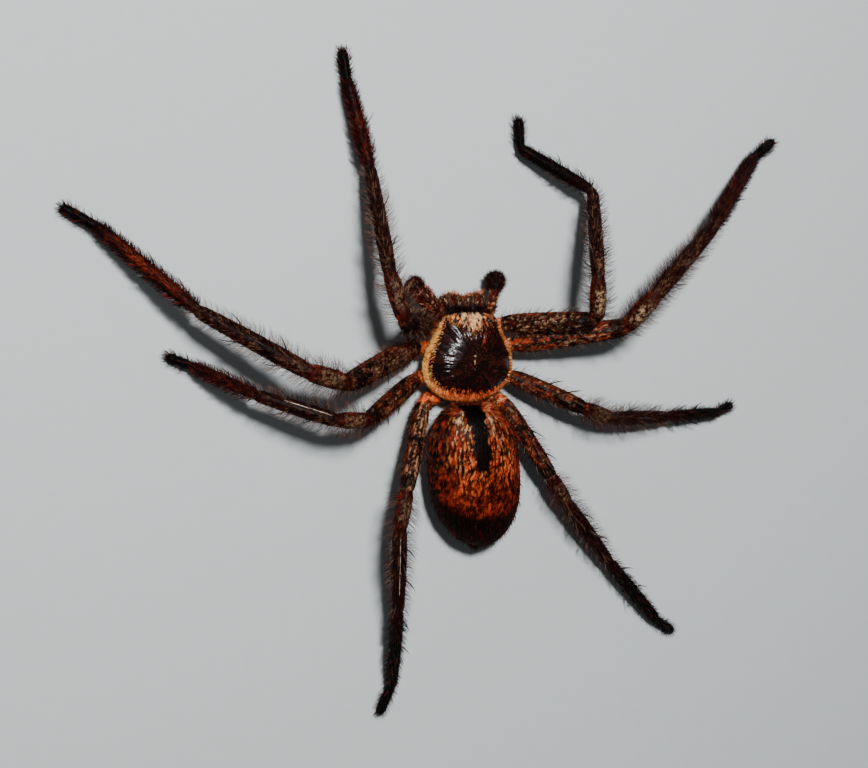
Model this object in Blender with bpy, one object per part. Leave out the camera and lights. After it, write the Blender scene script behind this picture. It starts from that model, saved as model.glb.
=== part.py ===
"""A huntsman spider at life size, as a still display model.

The spider stands in the wide pose of a resting huntsman: head towards -Y, its own
left side towards +X, up along +Z, feet on z = 0. The origin is the bottom centre of
its box. Every limb is a named part, and parts that meet keep a thin gap.
"""
import math
import random
from collections import namedtuple

import bmesh
import bpy
from mathutils import Vector

MM = 0.001
GAP = 0.3 * MM
WIDE_GAP = 0.45 * MM
UP = Vector((0.0, 0.0, 1.0))
LIMB_SIDES = 10
TOE_SIDES = 10

# Cephalothorax: the shield on top, the core below it that carries every coxa.
CARAPACE_FRONT = -8.0 * MM
CARAPACE_REAR = 5.8 * MM
CARAPACE_HALF_WIDTH = 7.4 * MM
HEAD_HALF_WIDTH = 4.5 * MM
RIM_HEIGHT = 5.2 * MM
BROW_RISE = 0.25 * MM
RIM_THICKNESS = 0.5 * MM
CARAPACE_TOP = 8.6 * MM
HEAD_DROP = 0.6 * MM
HEAD_SQUARENESS = 24
CARAPACE_CENTRE_Y = -0.6 * MM
CARAPACE_WIDEST_Y = 0.4 * MM
GROOVE_DEPTH = 0.16 * MM
GROOVES_A_SIDE = 4
CORE_CENTRE_Y = -0.2 * MM
CORE_HALF_LENGTH = 5.4 * MM
CORE_HALF_WIDTH = 3.3 * MM
CORE_BOTTOM = 2.3 * MM
CORE_POWER = 2.5

# Abdomen: an egg that trails a little to the spider's right.
ABDOMEN_FRONT = 6.1 * MM
ABDOMEN_LENGTH = 23.7 * MM
ABDOMEN_HALF_WIDTH = 7.8 * MM
ABDOMEN_HALF_HEIGHT = 5.6 * MM
ABDOMEN_HEIGHT = 7.5 * MM
ABDOMEN_DROOP = 1.6 * MM
ABDOMEN_SWING = -2.9 * MM
ABDOMEN_WIDEST = 0.5
ABDOMEN_RINGS = 15
ABDOMEN_SIDES = 28
SPINNERET_LENGTH = 1.9 * MM
SPINNERET_RADIUS = 0.42 * MM

# Jaws, fangs and eyes. A jaw's stations run from its root: share of the spacing,
# place along Y, height, half width and how far it leans down, in degrees.
JAW_SPACING = 2.08 * MM
JAW_FLATNESS = 0.82
JawRing = namedtuple("JawRing", "across back height half lean")
JAW_RINGS = (
    JawRing(0.70, -4.8, 3.10, 1.15, 0),
    JawRing(0.90, -6.2, 3.05, 1.35, 0),
    JawRing(1.00, -7.9, 3.00, 1.75, 0),
    JawRing(1.00, -9.1, 2.80, 1.86, 20),
    JawRing(1.00, -10.1, 2.55, 1.78, 28),
    JawRing(1.00, -10.6, 2.35, 1.40, 32),
)
FANG_LENGTH = 2.3 * MM
FANG_RADIUS = 0.38 * MM
FANG_HINGE = (1.05, -9.5, 0.62)
FANG_SAG = 0.3 * MM
Eye = namedtuple("Eye", "across back radius")
EYES = {
    "eye_front_middle": Eye(0.60 * MM, 0.35 * MM, 0.30 * MM),
    "eye_front_side": Eye(1.95 * MM, 0.50 * MM, 0.38 * MM),
    "eye_rear_middle": Eye(1.0 * MM, 1.25 * MM, 0.30 * MM),
    "eye_rear_side": Eye(2.85 * MM, 1.35 * MM, 0.38 * MM),
}

# Legs. Lengths and half thicknesses are shared by the left and the right leg.
Lengths = namedtuple("Lengths", "femur patella tibia metatarsus tarsus")
LEG_LENGTHS = {
    1: Lengths(15.0, 7.5, 18.0, 13.6, 4.8),
    2: Lengths(18.0, 7.5, 18.0, 19.0, 5.6),
    3: Lengths(13.0, 6.4, 12.2, 11.2, 4.1),
    4: Lengths(14.8, 6.0, 14.5, 15.6, 5.3),
}
Girths = namedtuple("Girths", "femur tibia metatarsus tarsus")
LEG_GIRTHS = {
    1: Girths(1.70, 1.24, 1.05, 0.82),
    2: Girths(1.85, 1.40, 1.10, 0.85),
    3: Girths(1.55, 1.25, 1.00, 0.78),
    4: Girths(1.50, 1.28, 1.08, 0.82),
}
Hip = namedtuple("Hip", "across back inner")
HIPS = {
    1: Hip(6.7, -5.9, -3.6),
    2: Hip(8.6, -2.6, -1.1),
    3: Hip(8.3, 2.6, 1.5),
    4: Hip(7.0, 6.7, 4.1),
}
HIP_HEIGHT = 4.4 * MM
COXA_HEIGHT = 3.25 * MM
COXA_INNER_ACROSS = 2.0 * MM
COXA_HALF_WIDTH = 1.15 * MM
ANKLE_HEIGHT = 2.3 * MM
TOE_HEIGHT = 0.72 * MM
TOE_BEND = 0.68

# The pose, in degrees: headings turn outwards from straight ahead, pitches rise.
# Metatarsus and tarsus have a heading only, since they reach down to fixed heights.
Stance = namedtuple("Stance", "femur patella tibia metatarsus tarsus")
STANCES = {
    ("left", 1): Stance((77, 55), (15, -13), (-1, -33), 12, 5),
    ("left", 2): Stance((105, 34), (72, 17), (60, -23), 48, 61),
    ("left", 3): Stance((116, 30), (84, 21), (72, -17), 65, 69),
    ("left", 4): Stance((156, 29), (169, 4), (186, -15), 186, 164),
    ("right", 1): Stance((84, 38), (-14, 23), (19, -39), -61, 3),
    ("right", 2): Stance((79, 24), (24, 37), (52, -17), 49, 58),
    ("right", 3): Stance((114, 15), (110, -11), (93, -12), 90, 76),
    ("right", 4): Stance((147, 8), (144, -8), (140, -7), 137, 125),
}

# Palps: shoulder, elbow, wrist and tip of each, then its half thicknesses.
Palp = namedtuple("Palp", "shoulder elbow wrist tip girths")
PALPS = {
    "left": Palp((4.4, -7.5, 3.9), (6.6, -9.7, 5.3), (7.9, -11.2, 4.6), (8.9, -12.8, 3.0),
                 (0.80, 0.95, 1.40, 1.50, 1.60, 1.25)),
    "right": Palp((4.3, -7.4, 3.9), (3.9, -9.5, 5.8), (4.7, -11.2, 4.9), (5.7, -13.6, 2.9),
                  (0.80, 0.80, 0.90, 1.20, 1.75, 1.25)),
}

# Stout leg spines: how many on each segment, their size and where they stand.
SPINE_SEED = 1790
SPINE_LENGTH = 2.5 * MM
SPINE_RADIUS = 0.26 * MM
SPINE_SIDES = 4
SPINE_SUNK = 0.55 * MM
SPINE_CLEARANCE = 2.6 * MM
SPINES_FROM = 0.30
SPINES_TO = 0.86
SPINES_ON = {"femur": 5, "patella": 2, "patella_tibia": 6, "metatarsus": 4}
SPINE_LEANS = (18, 62)
KNEECAP_LEANS = (2, 14)

# Colours of the finished surfaces.
BROWN = (0.075, 0.032, 0.016)
DARK = (0.022, 0.012, 0.009)
RUST = (0.30, 0.085, 0.022)
ORANGE = (0.42, 0.15, 0.035)
BLACK = (0.006, 0.005, 0.005)


def clear_scene():
    """Remove whatever the open file holds."""
    for old in list(bpy.data.objects):
        bpy.data.objects.remove(old, do_unlink=True)


def finish_colour(name, colour, roughness):
    """Make one plain finish."""
    material = bpy.data.materials.new(name)
    material.use_nodes = True
    shader = material.node_tree.nodes["Principled BSDF"]
    shader.inputs["Base Color"].default_value = (*colour, 1.0)
    shader.inputs["Roughness"].default_value = roughness
    shader.inputs["Metallic"].default_value = 0.0
    return material


def add_object(name, bm, at=Vector((0.0, 0.0, 0.0))):
    """Turn a closed bmesh in body coordinates into an object with its origin at a point."""
    bmesh.ops.remove_doubles(bm, verts=bm.verts, dist=0.00001)
    bmesh.ops.recalc_face_normals(bm, faces=bm.faces)
    bmesh.ops.translate(bm, vec=-at, verts=bm.verts)
    mesh = bpy.data.meshes.new(name)
    bm.to_mesh(mesh)
    bm.free()
    made = bpy.data.objects.new(name, mesh)
    made.location = at
    bpy.context.scene.collection.objects.link(made)
    return made


def dress(made, colour, roughness):
    """Give a node its finish and its smooth shading."""
    made.data.materials.clear()
    made.data.materials.append(finish_colour(made.name, colour, roughness))
    made.data.shade_smooth()
    made.data.set_sharp_from_angle(angle=math.radians(40))
    made.parent = bpy.data.objects["spider"]
    return made


def apply_boolean(made, operation, others, solver="EXACT"):
    """Cut or join an object with closed meshes, which are then removed."""
    group = bpy.data.collections.new("operands")
    bpy.context.scene.collection.children.link(group)
    for other in others:
        group.objects.link(other)
    change = made.modifiers.new(operation, "BOOLEAN")
    change.operation = operation
    change.operand_type = "COLLECTION"
    change.collection = group
    change.solver = solver
    bpy.context.view_layer.update()
    result = bpy.data.meshes.new_from_object(made.evaluated_get(bpy.context.evaluated_depsgraph_get()))
    made.modifiers.clear()
    made.data = result
    for other in others:
        bpy.data.objects.remove(other, do_unlink=True)
    bpy.data.collections.remove(group)
    keep_largest_shell(made)


def keep_largest_shell(made):
    """Keep only the closed surface that spans the most room."""
    bm = bmesh.new()
    bm.from_mesh(made.data)
    bmesh.ops.remove_doubles(bm, verts=bm.verts, dist=0.000002)
    unseen = set(bm.verts)
    shells = []
    while unseen:
        shell = [unseen.pop()]
        for vert in shell:
            for edge in vert.link_edges:
                other = edge.other_vert(vert)
                if other in unseen:
                    unseen.remove(other)
                    shell.append(other)
        shells.append(shell)
    shells.sort(key=len)
    for shell in shells[:-1]:
        bmesh.ops.delete(bm, geom=shell, context="VERTS")
    bm.to_mesh(made.data)
    bm.free()


def ring(centre, along, half_width, half_height, sides):
    """Points of one oval cross-section square to a direction."""
    across = along.cross(UP).normalized()
    over = across.cross(along).normalized()
    points = []
    for step in range(sides):
        angle = math.tau * step / sides
        points.append(centre + across * half_width * math.cos(angle) + over * half_height * math.sin(angle))
    return points


def skin_rings(bm, rings):
    """Bridge a row of equal rings and close both ends flat."""
    rows = [[bm.verts.new(point) for point in points] for points in rings]
    sides = len(rows[0])
    for lower, upper in zip(rows, rows[1:]):
        for step in range(sides):
            after = (step + 1) % sides
            bm.faces.new((lower[step], lower[after], upper[after], upper[step]))
    bm.faces.new(rows[0])
    bm.faces.new(rows[-1])


def loft(name, stations, sides=LIMB_SIDES, floor=False, flat=0.95):
    """Solid limb through stations of (centre, direction, half width)."""
    bm = bmesh.new()
    rings = []
    for centre, along, half in stations:
        points = ring(centre, along, half, half * flat, sides)
        if floor:
            points = [Vector((p.x, p.y, max(p.z, 0.0))) for p in points]
        rings.append(points)
    skin_rings(bm, rings)
    return add_object(name, bm, stations[0][0])


def grown(stations):
    """The same limb, larger all round by the gap, to cut its neighbours with."""
    wider = [(centre, along, half + GAP * 1.05) for centre, along, half in stations]
    first, last = wider[0], wider[-1]
    wider[0] = (first[0] - first[1] * GAP, first[1], first[2])
    wider[-1] = (last[0] + last[1] * GAP, last[1], last[2])
    return wider


def spline_stations(points, girths, steps=3):
    """Stations on a smooth curve through points, one half thickness for each point."""
    spots = [Vector(point) * MM for point in points]
    ends = [spots[0] * 2 - spots[1]] + spots + [spots[-1] * 2 - spots[-2]]
    stations = []
    for index in range(1, len(ends) - 2):
        before, start, stop, after = ends[index - 1:index + 3]
        last = index == len(ends) - 3
        for step in range(steps + (1 if last else 0)):
            t = step / steps
            slope = (stop - before) * 0.5
            slope_after = (after - start) * 0.5
            centre = ((2 * t**3 - 3 * t**2 + 1) * start + (t**3 - 2 * t**2 + t) * slope
                      + (-2 * t**3 + 3 * t**2) * stop + (t**3 - t**2) * slope_after)
            along = ((6 * t**2 - 6 * t) * start + (3 * t**2 - 4 * t + 1) * slope
                     + (-6 * t**2 + 6 * t) * stop + (3 * t**2 - 2 * t) * slope_after)
            ease = t * t * (3 - 2 * t)
            half = girths[index - 1] * (1 - ease) + girths[min(index, len(girths) - 1)] * ease
            stations.append((centre, along.normalized(), half * MM))
    return stations


def carapace_half_width(y):
    """Half width of the shield: a round rear part and a narrower, blunt head."""
    if y > CARAPACE_WIDEST_Y:
        reach = (y - CARAPACE_WIDEST_Y) / (CARAPACE_REAR - CARAPACE_WIDEST_Y)
        return CARAPACE_HALF_WIDTH * (1 - reach**2.3) ** 0.5
    reach = min((CARAPACE_WIDEST_Y - y) / (CARAPACE_WIDEST_Y - CARAPACE_FRONT), 1.0)
    shoulder = (math.cos(math.pi * reach) + 1) / 2
    width = HEAD_HALF_WIDTH + (CARAPACE_HALF_WIDTH - HEAD_HALF_WIDTH) * shoulder
    return width * (1 - reach**HEAD_SQUARENESS) ** 0.5


def carapace_outline(steps):
    """Outline of the shield, once round from the middle of the front."""
    middle = (CARAPACE_FRONT + CARAPACE_REAR) / 2
    half_length = (CARAPACE_REAR - CARAPACE_FRONT) / 2
    outline = []
    for step in range(steps):
        angle = math.tau * step / steps
        y = middle - half_length * math.cos(angle)
        x = carapace_half_width(y) * (1 if math.sin(angle) >= 0 else -1)
        if abs(math.sin(angle)) < 0.001:
            x = 0.0
        outline.append(Vector((x, y, 0.0)))
    return outline


def carapace_height(reach, spot):
    """Height of the shield at a share of the way from its centre to its rim."""
    frontness = max(0.0, -spot.y / -CARAPACE_FRONT)
    rim = RIM_HEIGHT + RIM_THICKNESS + BROW_RISE * frontness**2
    dome = (1 - reach**2.6) ** 0.8
    angle = math.atan2(abs(spot.x), -spot.y)
    groove = GROOVE_DEPTH * math.sin(math.pi * reach) * max(0.0, math.cos(GROOVES_A_SIDE * 2 * angle))
    crown = CARAPACE_TOP - HEAD_DROP * frontness**2
    return rim + (crown - rim) * dome - groove


def make_carapace():
    """The shield: a low dome over a flat underside, with sockets for the eyes."""
    bm = bmesh.new()
    outline = carapace_outline(36)
    centre = Vector((0.0, CARAPACE_CENTRE_Y, 0.0))
    rows = []
    for reach in (0.12, 0.3, 0.48, 0.65, 0.8, 0.91, 0.97, 1.0):
        row = []
        for spot in outline:
            place = centre + (spot - centre) * reach
            row.append(bm.verts.new((place.x, place.y, carapace_height(reach, spot))))
        rows.append(row)
    for reach in (1.0, 0.9):
        row = []
        for spot in outline:
            place = centre + (spot - centre) * reach
            row.append(bm.verts.new((place.x, place.y, RIM_HEIGHT)))
        rows.append(row)
    sides = len(outline)
    for inner, outer in zip(rows, rows[1:]):
        for step in range(sides):
            after = (step + 1) % sides
            bm.faces.new((inner[step], outer[step], outer[after], inner[after]))
    bm.faces.new(rows[0])
    bm.faces.new(rows[-1])
    shield = add_object("carapace", bm)
    sockets = []
    for name, eye in EYES.items():
        for side in (1, -1):
            sockets.append(make_ball("socket", eye_place(eye, side), eye.radius + GAP))
    apply_boolean(shield, "DIFFERENCE", sockets)
    dress(shield, DARK, 0.3)


def eye_place(eye, side):
    """Centre of an eye, on the shield's surface behind its front edge."""
    centre = Vector((0.0, CARAPACE_CENTRE_Y, 0.0))
    spot = Vector((side * eye.across, CARAPACE_FRONT + eye.back, 0.0))
    rim = min(carapace_outline(360), key=lambda point: (point - centre).angle(spot - centre))
    reach = min((spot - centre).length / (rim - centre).length, 0.99)
    spot.z = carapace_height(reach, rim) + eye.radius * 0.1
    return spot


def make_ball(name, centre, radius, around=10, high=6):
    """A closed ball."""
    bm = bmesh.new()
    bmesh.ops.create_uvsphere(bm, u_segments=around, v_segments=high, radius=radius)
    bmesh.ops.translate(bm, vec=centre, verts=bm.verts)
    return add_object(name, bm, centre)


def make_eyes():
    """Eight simple eyes in two rows."""
    for name, eye in EYES.items():
        for side, word in ((1, "left"), (-1, "right")):
            ball = make_ball(f"{name}_{word}", eye_place(eye, side), eye.radius)
            dress(ball, BLACK, 0.08)


def core_shape(name, extra=0.0):
    """The block under the shield: an upright oval prism with a softened underside."""
    bm = bmesh.new()
    rings = []
    top = RIM_HEIGHT - GAP
    levels = ((CORE_BOTTOM - extra, 0.72), (CORE_BOTTOM + 0.5 * MM - extra, 1.0), (top + extra, 1.0))
    for height, share in levels:
        points = []
        for step in range(28):
            angle = math.tau * step / 28
            c, s = math.cos(angle), math.sin(angle)
            x = (CORE_HALF_WIDTH + extra) * math.copysign(abs(c) ** (2 / CORE_POWER), c)
            y = (CORE_HALF_LENGTH + extra) * math.copysign(abs(s) ** (2 / CORE_POWER), s)
            points.append(Vector((x * share, CORE_CENTRE_Y + y * share, height)))
        rings.append(points)
    skin_rings(bm, rings)
    return add_object(name, bm)


def abdomen_spot(t):
    """Centre, half width and half height of the abdomen at a share of its length."""
    if t < ABDOMEN_WIDEST:
        reach = (ABDOMEN_WIDEST - t) / ABDOMEN_WIDEST
        share = (1 - reach**3) ** 0.385
    else:
        reach = (t - ABDOMEN_WIDEST) / (1 - ABDOMEN_WIDEST)
        share = math.sqrt(max(0.0, 1 - reach**2))
    centre = Vector((ABDOMEN_SWING * t**1.5, ABDOMEN_FRONT + ABDOMEN_LENGTH * t,
                     ABDOMEN_HEIGHT - ABDOMEN_DROOP * t**2))
    return centre, share


def abdomen_shape(name, extra=0.0):
    """The egg-shaped abdomen, closed at both poles."""
    bm = bmesh.new()
    rings = []
    for step in range(1, ABDOMEN_RINGS):
        t = 0.5 - 0.5 * math.cos(math.pi * step / ABDOMEN_RINGS)
        centre, share = abdomen_spot(t)
        points = []
        for turn in range(ABDOMEN_SIDES):
            angle = math.tau * turn / ABDOMEN_SIDES
            points.append(centre + Vector((
                (ABDOMEN_HALF_WIDTH * share + extra) * math.cos(angle), 0.0,
                (ABDOMEN_HALF_HEIGHT * share + extra) * math.sin(angle))))
        rings.append(points)
    rows = [[bm.verts.new(point) for point in points] for points in rings]
    front = bm.verts.new(abdomen_spot(0.0)[0] + Vector((0.0, -extra, 0.0)))
    tip = bm.verts.new(abdomen_spot(1.0)[0] + Vector((0.0, extra, 0.0)))
    for turn in range(ABDOMEN_SIDES):
        after = (turn + 1) % ABDOMEN_SIDES
        bm.faces.new((front, rows[0][turn], rows[0][after]))
        bm.faces.new((tip, rows[-1][after], rows[-1][turn]))
        for lower, upper in zip(rows, rows[1:]):
            bm.faces.new((lower[turn], lower[after], upper[after], upper[turn]))
    return add_object(name, bm)


def make_pedicel():
    """The narrow waist, cut to meet the core and the abdomen."""
    start = Vector((0.0, CORE_CENTRE_Y + CORE_HALF_LENGTH - 0.8 * MM, 3.5 * MM))
    stop = Vector((0.0, ABDOMEN_FRONT + 2.2 * MM, 4.6 * MM))
    along = (stop - start).normalized()
    waist = loft("pedicel", [(start, along, 0.9 * MM), (stop, along, 0.9 * MM)])
    apply_boolean(waist, "DIFFERENCE", [core_shape("cut", GAP), abdomen_shape("cut", WIDE_GAP)])
    dress(waist, BROWN, 0.5)


def make_spinnerets():
    """Six tapered spinnerets on one low knob under the abdomen's tip."""
    t = 0.955
    centre, share = abdomen_spot(t)
    knob_at = centre + Vector((0.0, 0.0, -ABDOMEN_HALF_HEIGHT * share * 0.6))
    back = Vector((0.0, 0.86, -0.5)).normalized()
    knob = loft("spinnerets", [(knob_at - back * 1.5 * MM, back, 1.3 * MM),
                               (knob_at + back * 0.5 * MM, back, 1.15 * MM),
                               (knob_at + back * 0.8 * MM, back, 0.9 * MM)])
    pieces = []
    for index in range(6):
        angle = math.tau * (index + 0.5) / 6
        out = Vector((math.cos(angle), 0.5 * math.sin(angle), 0.86 * math.sin(angle)))
        root = knob_at + back * 0.3 * MM + out * 0.55 * MM
        along = (back + out * 0.22).normalized()
        pieces.append(loft("spinneret", [
            (root, along, SPINNERET_RADIUS),
            (root + along * SPINNERET_LENGTH * 0.6, along, SPINNERET_RADIUS * 0.85),
            (root + along * SPINNERET_LENGTH, along, SPINNERET_RADIUS * 0.45)], 8))
    apply_boolean(knob, "UNION", pieces)
    apply_boolean(knob, "DIFFERENCE", [abdomen_shape("cut", WIDE_GAP)])
    dress(knob, DARK, 0.6)


def make_jaws(neighbours):
    """Two stout chelicerae, and a fang folded in under each."""
    for side, word in ((1, "left"), (-1, "right")):
        stations = []
        for row in JAW_RINGS:
            lean = math.radians(row.lean)
            centre = Vector((side * row.across * JAW_SPACING, row.back * MM, row.height * MM))
            stations.append((centre, Vector((0.0, -math.cos(lean), -math.sin(lean))), row.half * MM))
        jaw = loft(f"chelicera_{word}", stations, flat=JAW_FLATNESS)
        apply_boolean(jaw, "DIFFERENCE", [core_shape("cut", GAP)])
        neighbours[word].append(stations)
        dress(jaw, DARK, 0.5)
        share, back, height = FANG_HINGE
        hinge = Vector((side * share * JAW_SPACING, back * MM, height * MM))
        inward = Vector((-side * 0.8, 0.55, -0.12)).normalized()
        fang_path = []
        for step in range(5):
            t = step / 4
            bend = Vector((0.0, FANG_SAG * math.sin(math.pi * t), 0.0))
            fang_path.append((hinge + inward * FANG_LENGTH * t - bend, inward, FANG_RADIUS * (1.02 - 0.82 * t)))
        fang = loft(f"fang_{word}", fang_path, 8)
        dress(fang, BLACK, 0.2)


def make_palps(neighbours):
    """Two short feelers beside the jaws, each with a swollen end."""
    for word, palp in PALPS.items():
        side = 1 if word == "left" else -1
        path = [(2.0, -4.4, 3.1), palp.shoulder, palp.elbow, palp.wrist]
        middle = [(a + b) / 2 for a, b in zip(palp.wrist, palp.tip)]
        path += [middle, palp.tip]
        path = [(side * x, y, z) for x, y, z in path]
        stations = spline_stations(path, palp.girths, 3)
        feeler = loft(f"palp_{word}", stations)
        cut_clear(feeler, neighbours[word])
        neighbours[word].append(stations)
        dress(feeler, BROWN, 0.7)


def cut_clear(made, neighbours):
    """Trim a part so that it meets the core and the parts beside it face to face."""
    cutters = [core_shape("cut", GAP)]
    for stations in neighbours:
        cutters.append(loft("cut", grown(stations)))
    for cutter in cutters:
        apply_boolean(made, "DIFFERENCE", [cutter], "MANIFOLD")


def direction(side, heading, pitch):
    """Unit vector for a heading, outwards from straight ahead, and a rise, in degrees."""
    turn, rise = math.radians(heading), math.radians(pitch)
    return Vector((side * math.sin(turn) * math.cos(rise), -math.cos(turn) * math.cos(rise), math.sin(rise)))


def leg_joints(side, number, stance):
    """Joint points of one leg from the hip to the toe."""
    lengths, hip = LEG_LENGTHS[number], HIPS[number]
    points = [Vector((side * hip.across * MM, hip.back * MM, HIP_HEIGHT))]
    for length, aim in zip(lengths[:3], stance[:3]):
        points.append(points[-1] + direction(side, *aim) * length * MM)
    for length, heading, height in ((lengths.metatarsus, stance.metatarsus, ANKLE_HEIGHT),
                                    (lengths.tarsus, stance.tarsus, TOE_HEIGHT)):
        pitch = math.degrees(math.asin((height - points[-1].z) / (length * MM)))
        points.append(points[-1] + direction(side, heading, pitch) * length * MM)
    return points


class Corner:
    """A rounded bend between two straight stretches of a leg."""

    def __init__(self, point, before, after, half):
        self.half = half
        self.along = (before + after).normalized()
        self.turn = before.angle(after) / 2
        self.round = self.turn > math.radians(13)
        self.middle = point
        self.length = 0.0
        if self.round:
            inward = (after - before).normalized()
            radius = half + 0.8 * MM
            self.centre = point + inward * radius / math.cos(self.turn)
            self.inward, self.radius = inward, radius
            self.middle = self.centre - inward * radius
            self.length = radius * math.tan(self.turn)

    def stations(self, way):
        """Stations of the half bend, from its middle outwards; way is 1 or -1."""
        found = []
        shares = ((0.6, 1.0) if self.turn > math.radians(38) else (1.0,)) if self.round else ()
        for share in shares:
            angle = self.turn * share * way
            centre = self.centre + self.radius * (self.along * math.sin(angle) - self.inward * math.cos(angle))
            along = self.along * math.cos(angle) + self.inward * math.sin(angle)
            found.append((centre, along, self.half))
        return found

    def face(self, way):
        """The flat end of a part that stops just short of the bend's middle."""
        return (self.middle + self.along * GAP / 2 * way, self.along, self.half)


def stretch(start, stop, lead, trail, profile):
    """Stations on the straight part between two corners, by shares of its length."""
    along = (stop - start).normalized()
    whole = (stop - start).length
    clear = 0.7 * MM
    found = []
    for share, half in profile:
        way = whole * share
        if lead + clear < way < whole - trail - clear:
            found.append((start + along * way, along, half * MM))
    return found


def make_leg(word, number, neighbours, dice):
    """The five parts of one leg, each ending face to face with the next."""
    side = 1 if word == "left" else -1
    girth = LEG_GIRTHS[number]
    points = leg_joints(side, number, STANCES[(word, number)])
    hip, knee, shank, heel, ankle, toe = points
    inner = Vector((side * COXA_INNER_ACROSS, HIPS[number].inner * MM, COXA_HEIGHT))
    elbow = inner.lerp(hip, 0.72)
    elbow.z = COXA_HEIGHT + 0.1 * MM
    ways = [(b - a).normalized() for a, b in zip([elbow] + points, points)]
    halves = (1.3, girth.femur * 0.84, (girth.femur + girth.tibia) / 2 * 0.84, girth.metatarsus, girth.tarsus)
    corners = [Corner(point, ways[i], ways[i + 1], halves[i] * MM) for i, point in enumerate(points[:5])]
    hips, knees, necks, heels, ankles = corners
    name = f"leg_{word}_{number}_"

    first = (elbow - inner).normalized()
    coxa_stations = [(inner, first, COXA_HALF_WIDTH), (elbow, (first + ways[0]).normalized(), 1.28 * MM)]
    coxa_stations += hips.stations(-1)[::-1] + [hips.face(-1)]
    coxa = loft(name + "coxa", coxa_stations)
    cut_clear(coxa, neighbours[word])
    neighbours[word].append(coxa_stations)
    dress(coxa, RUST, 0.6)

    swell = [(0.14, 0.93), (0.34, 1.0), (0.6, 0.99), (0.84, 0.9)]
    stations = [hips.face(1)] + hips.stations(1)
    stations += stretch(hip, knee, hips.length, knees.length, [(s, f * girth.femur) for s, f in swell])
    stations += knees.stations(-1)[::-1] + [knees.face(-1)]
    femur = loft(name + "femur", stations)
    spines = set_spines(stations, SPINES_ON["femur"], SPINE_LEANS, (word, number), dice)
    fuse_spines(femur, spines)
    dress(femur, BROWN, 0.6)

    stations = [knees.face(1)] + knees.stations(1)
    kneecap = (girth.femur + girth.tibia) / 2
    stations += stretch(knee, shank, knees.length, necks.length, [(0.35, kneecap * 0.95), (0.68, kneecap * 0.95)])
    neck = necks.stations(-1)[::-1] + necks.stations(1)
    stations += neck if neck else [(shank, necks.along, necks.half)]
    swell = [(0.12, 0.99), (0.35, 1.0), (0.65, 0.95), (0.88, 0.86)]
    stations += stretch(shank, heel, necks.length, heels.length, [(s, f * girth.tibia) for s, f in swell])
    stations += heels.stations(-1)[::-1] + [heels.face(-1)]
    shin = loft(name + "patella_tibia", stations)
    spines = set_spines(stations[:5], SPINES_ON["patella"], KNEECAP_LEANS, (word, number), dice)
    spines += set_spines(stations[4:], SPINES_ON["patella_tibia"], SPINE_LEANS, (word, number), dice)
    fuse_spines(shin, spines)
    dress(shin, BROWN, 0.6)

    stations = [heels.face(1)] + heels.stations(1)
    swell = [(0.2, 1.03), (0.5, 1.0), (0.8, 0.95)]
    stations += stretch(heel, ankle, heels.length, ankles.length, [(s, f * girth.metatarsus) for s, f in swell])
    stations += ankles.stations(-1)[::-1] + [ankles.face(-1)]
    foot = loft(name + "metatarsus", stations)
    spines = set_spines(stations, SPINES_ON["metatarsus"], SPINE_LEANS, (word, number), dice)
    fuse_spines(foot, spines)
    dress(foot, DARK, 0.8)

    ball = ankle.lerp(toe, TOE_BEND)
    ball.z = TOE_HEIGHT
    level = Vector((ways[5].x, ways[5].y, 0.0)).normalized()
    stations = [ankles.face(1)] + ankles.stations(1)
    stations += stretch(ankle, ball, ankles.length, 0.0, [(0.5, girth.tarsus * 0.95)])
    sole = (TOE_HEIGHT + 0.1 * MM) / 0.95
    stations += [(ball, (level + ways[5]).normalized(), sole), (toe, level, sole)]
    tarsus = loft(name + "tarsus", stations, TOE_SIDES, floor=True)
    dress(tarsus, BLACK, 0.9)


def station_at(stations, share):
    """The station at a share of the way along a limb."""
    steps = [(b[0] - a[0]).length for a, b in zip(stations, stations[1:])]
    way = share * sum(steps)
    for step, start, stop in zip(steps, stations, stations[1:]):
        if way <= step:
            mix = way / step
            along = start[1].lerp(stop[1], mix).normalized()
            return start[0].lerp(stop[0], mix), along, start[2] * (1 - mix) + stop[2] * mix
        way -= step
    return stations[-1]


def near_other_limb(point, word, number):
    """Whether a point is close to another leg or to the abdomen."""
    for (other, row), stance in STANCES.items():
        joints = leg_joints(1 if other == "left" else -1, row, stance)
        if (other, row) == (word, number):
            continue
        for start, stop in zip(joints, joints[1:]):
            way = max(0.0, min(1.0, (point - start).dot(stop - start) / (stop - start).length_squared))
            if (point - start.lerp(stop, way)).length < SPINE_CLEARANCE:
                return True
    middle, share = abdomen_spot(0.3)
    return (point - middle).length < ABDOMEN_HALF_WIDTH * 1.25 * share


def set_spines(stations, count, leans, whose, dice):
    """Stout, bent spines in two rows along the upper sides of a limb, their roots sunk in.

    A spine that would run into another limb is left out.
    """
    spines = []
    for index in range(count):
        share = (index + 0.5 + dice.uniform(-0.15, 0.15)) / count
        centre, along, half = station_at(stations, SPINES_FROM + (SPINES_TO - SPINES_FROM) * share)
        across = along.cross(UP).normalized()
        over = across.cross(along).normalized()
        lean = math.radians(dice.uniform(*leans)) * (1 if index % 2 else -1)
        out = (over * math.cos(lean) + across * math.sin(lean)).normalized()
        length = SPINE_LENGTH * dice.uniform(0.85, 1.15)
        root = centre + out * (half - SPINE_SUNK)
        rise = (out + along * 0.75).normalized()
        bent = (out + along * 1.35).normalized()
        waist = root + rise * (SPINE_SUNK + length * 0.45)
        tip = waist + bent * length * 0.55
        if near_other_limb(tip, *whose):
            continue
        spines.append(loft("spine", [
            (root, rise, SPINE_RADIUS), (waist, rise.lerp(bent, 0.5).normalized(), SPINE_RADIUS * 0.8),
            (tip, bent, SPINE_RADIUS * 0.22)], SPINE_SIDES, flat=1.0))
    return spines


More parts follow.
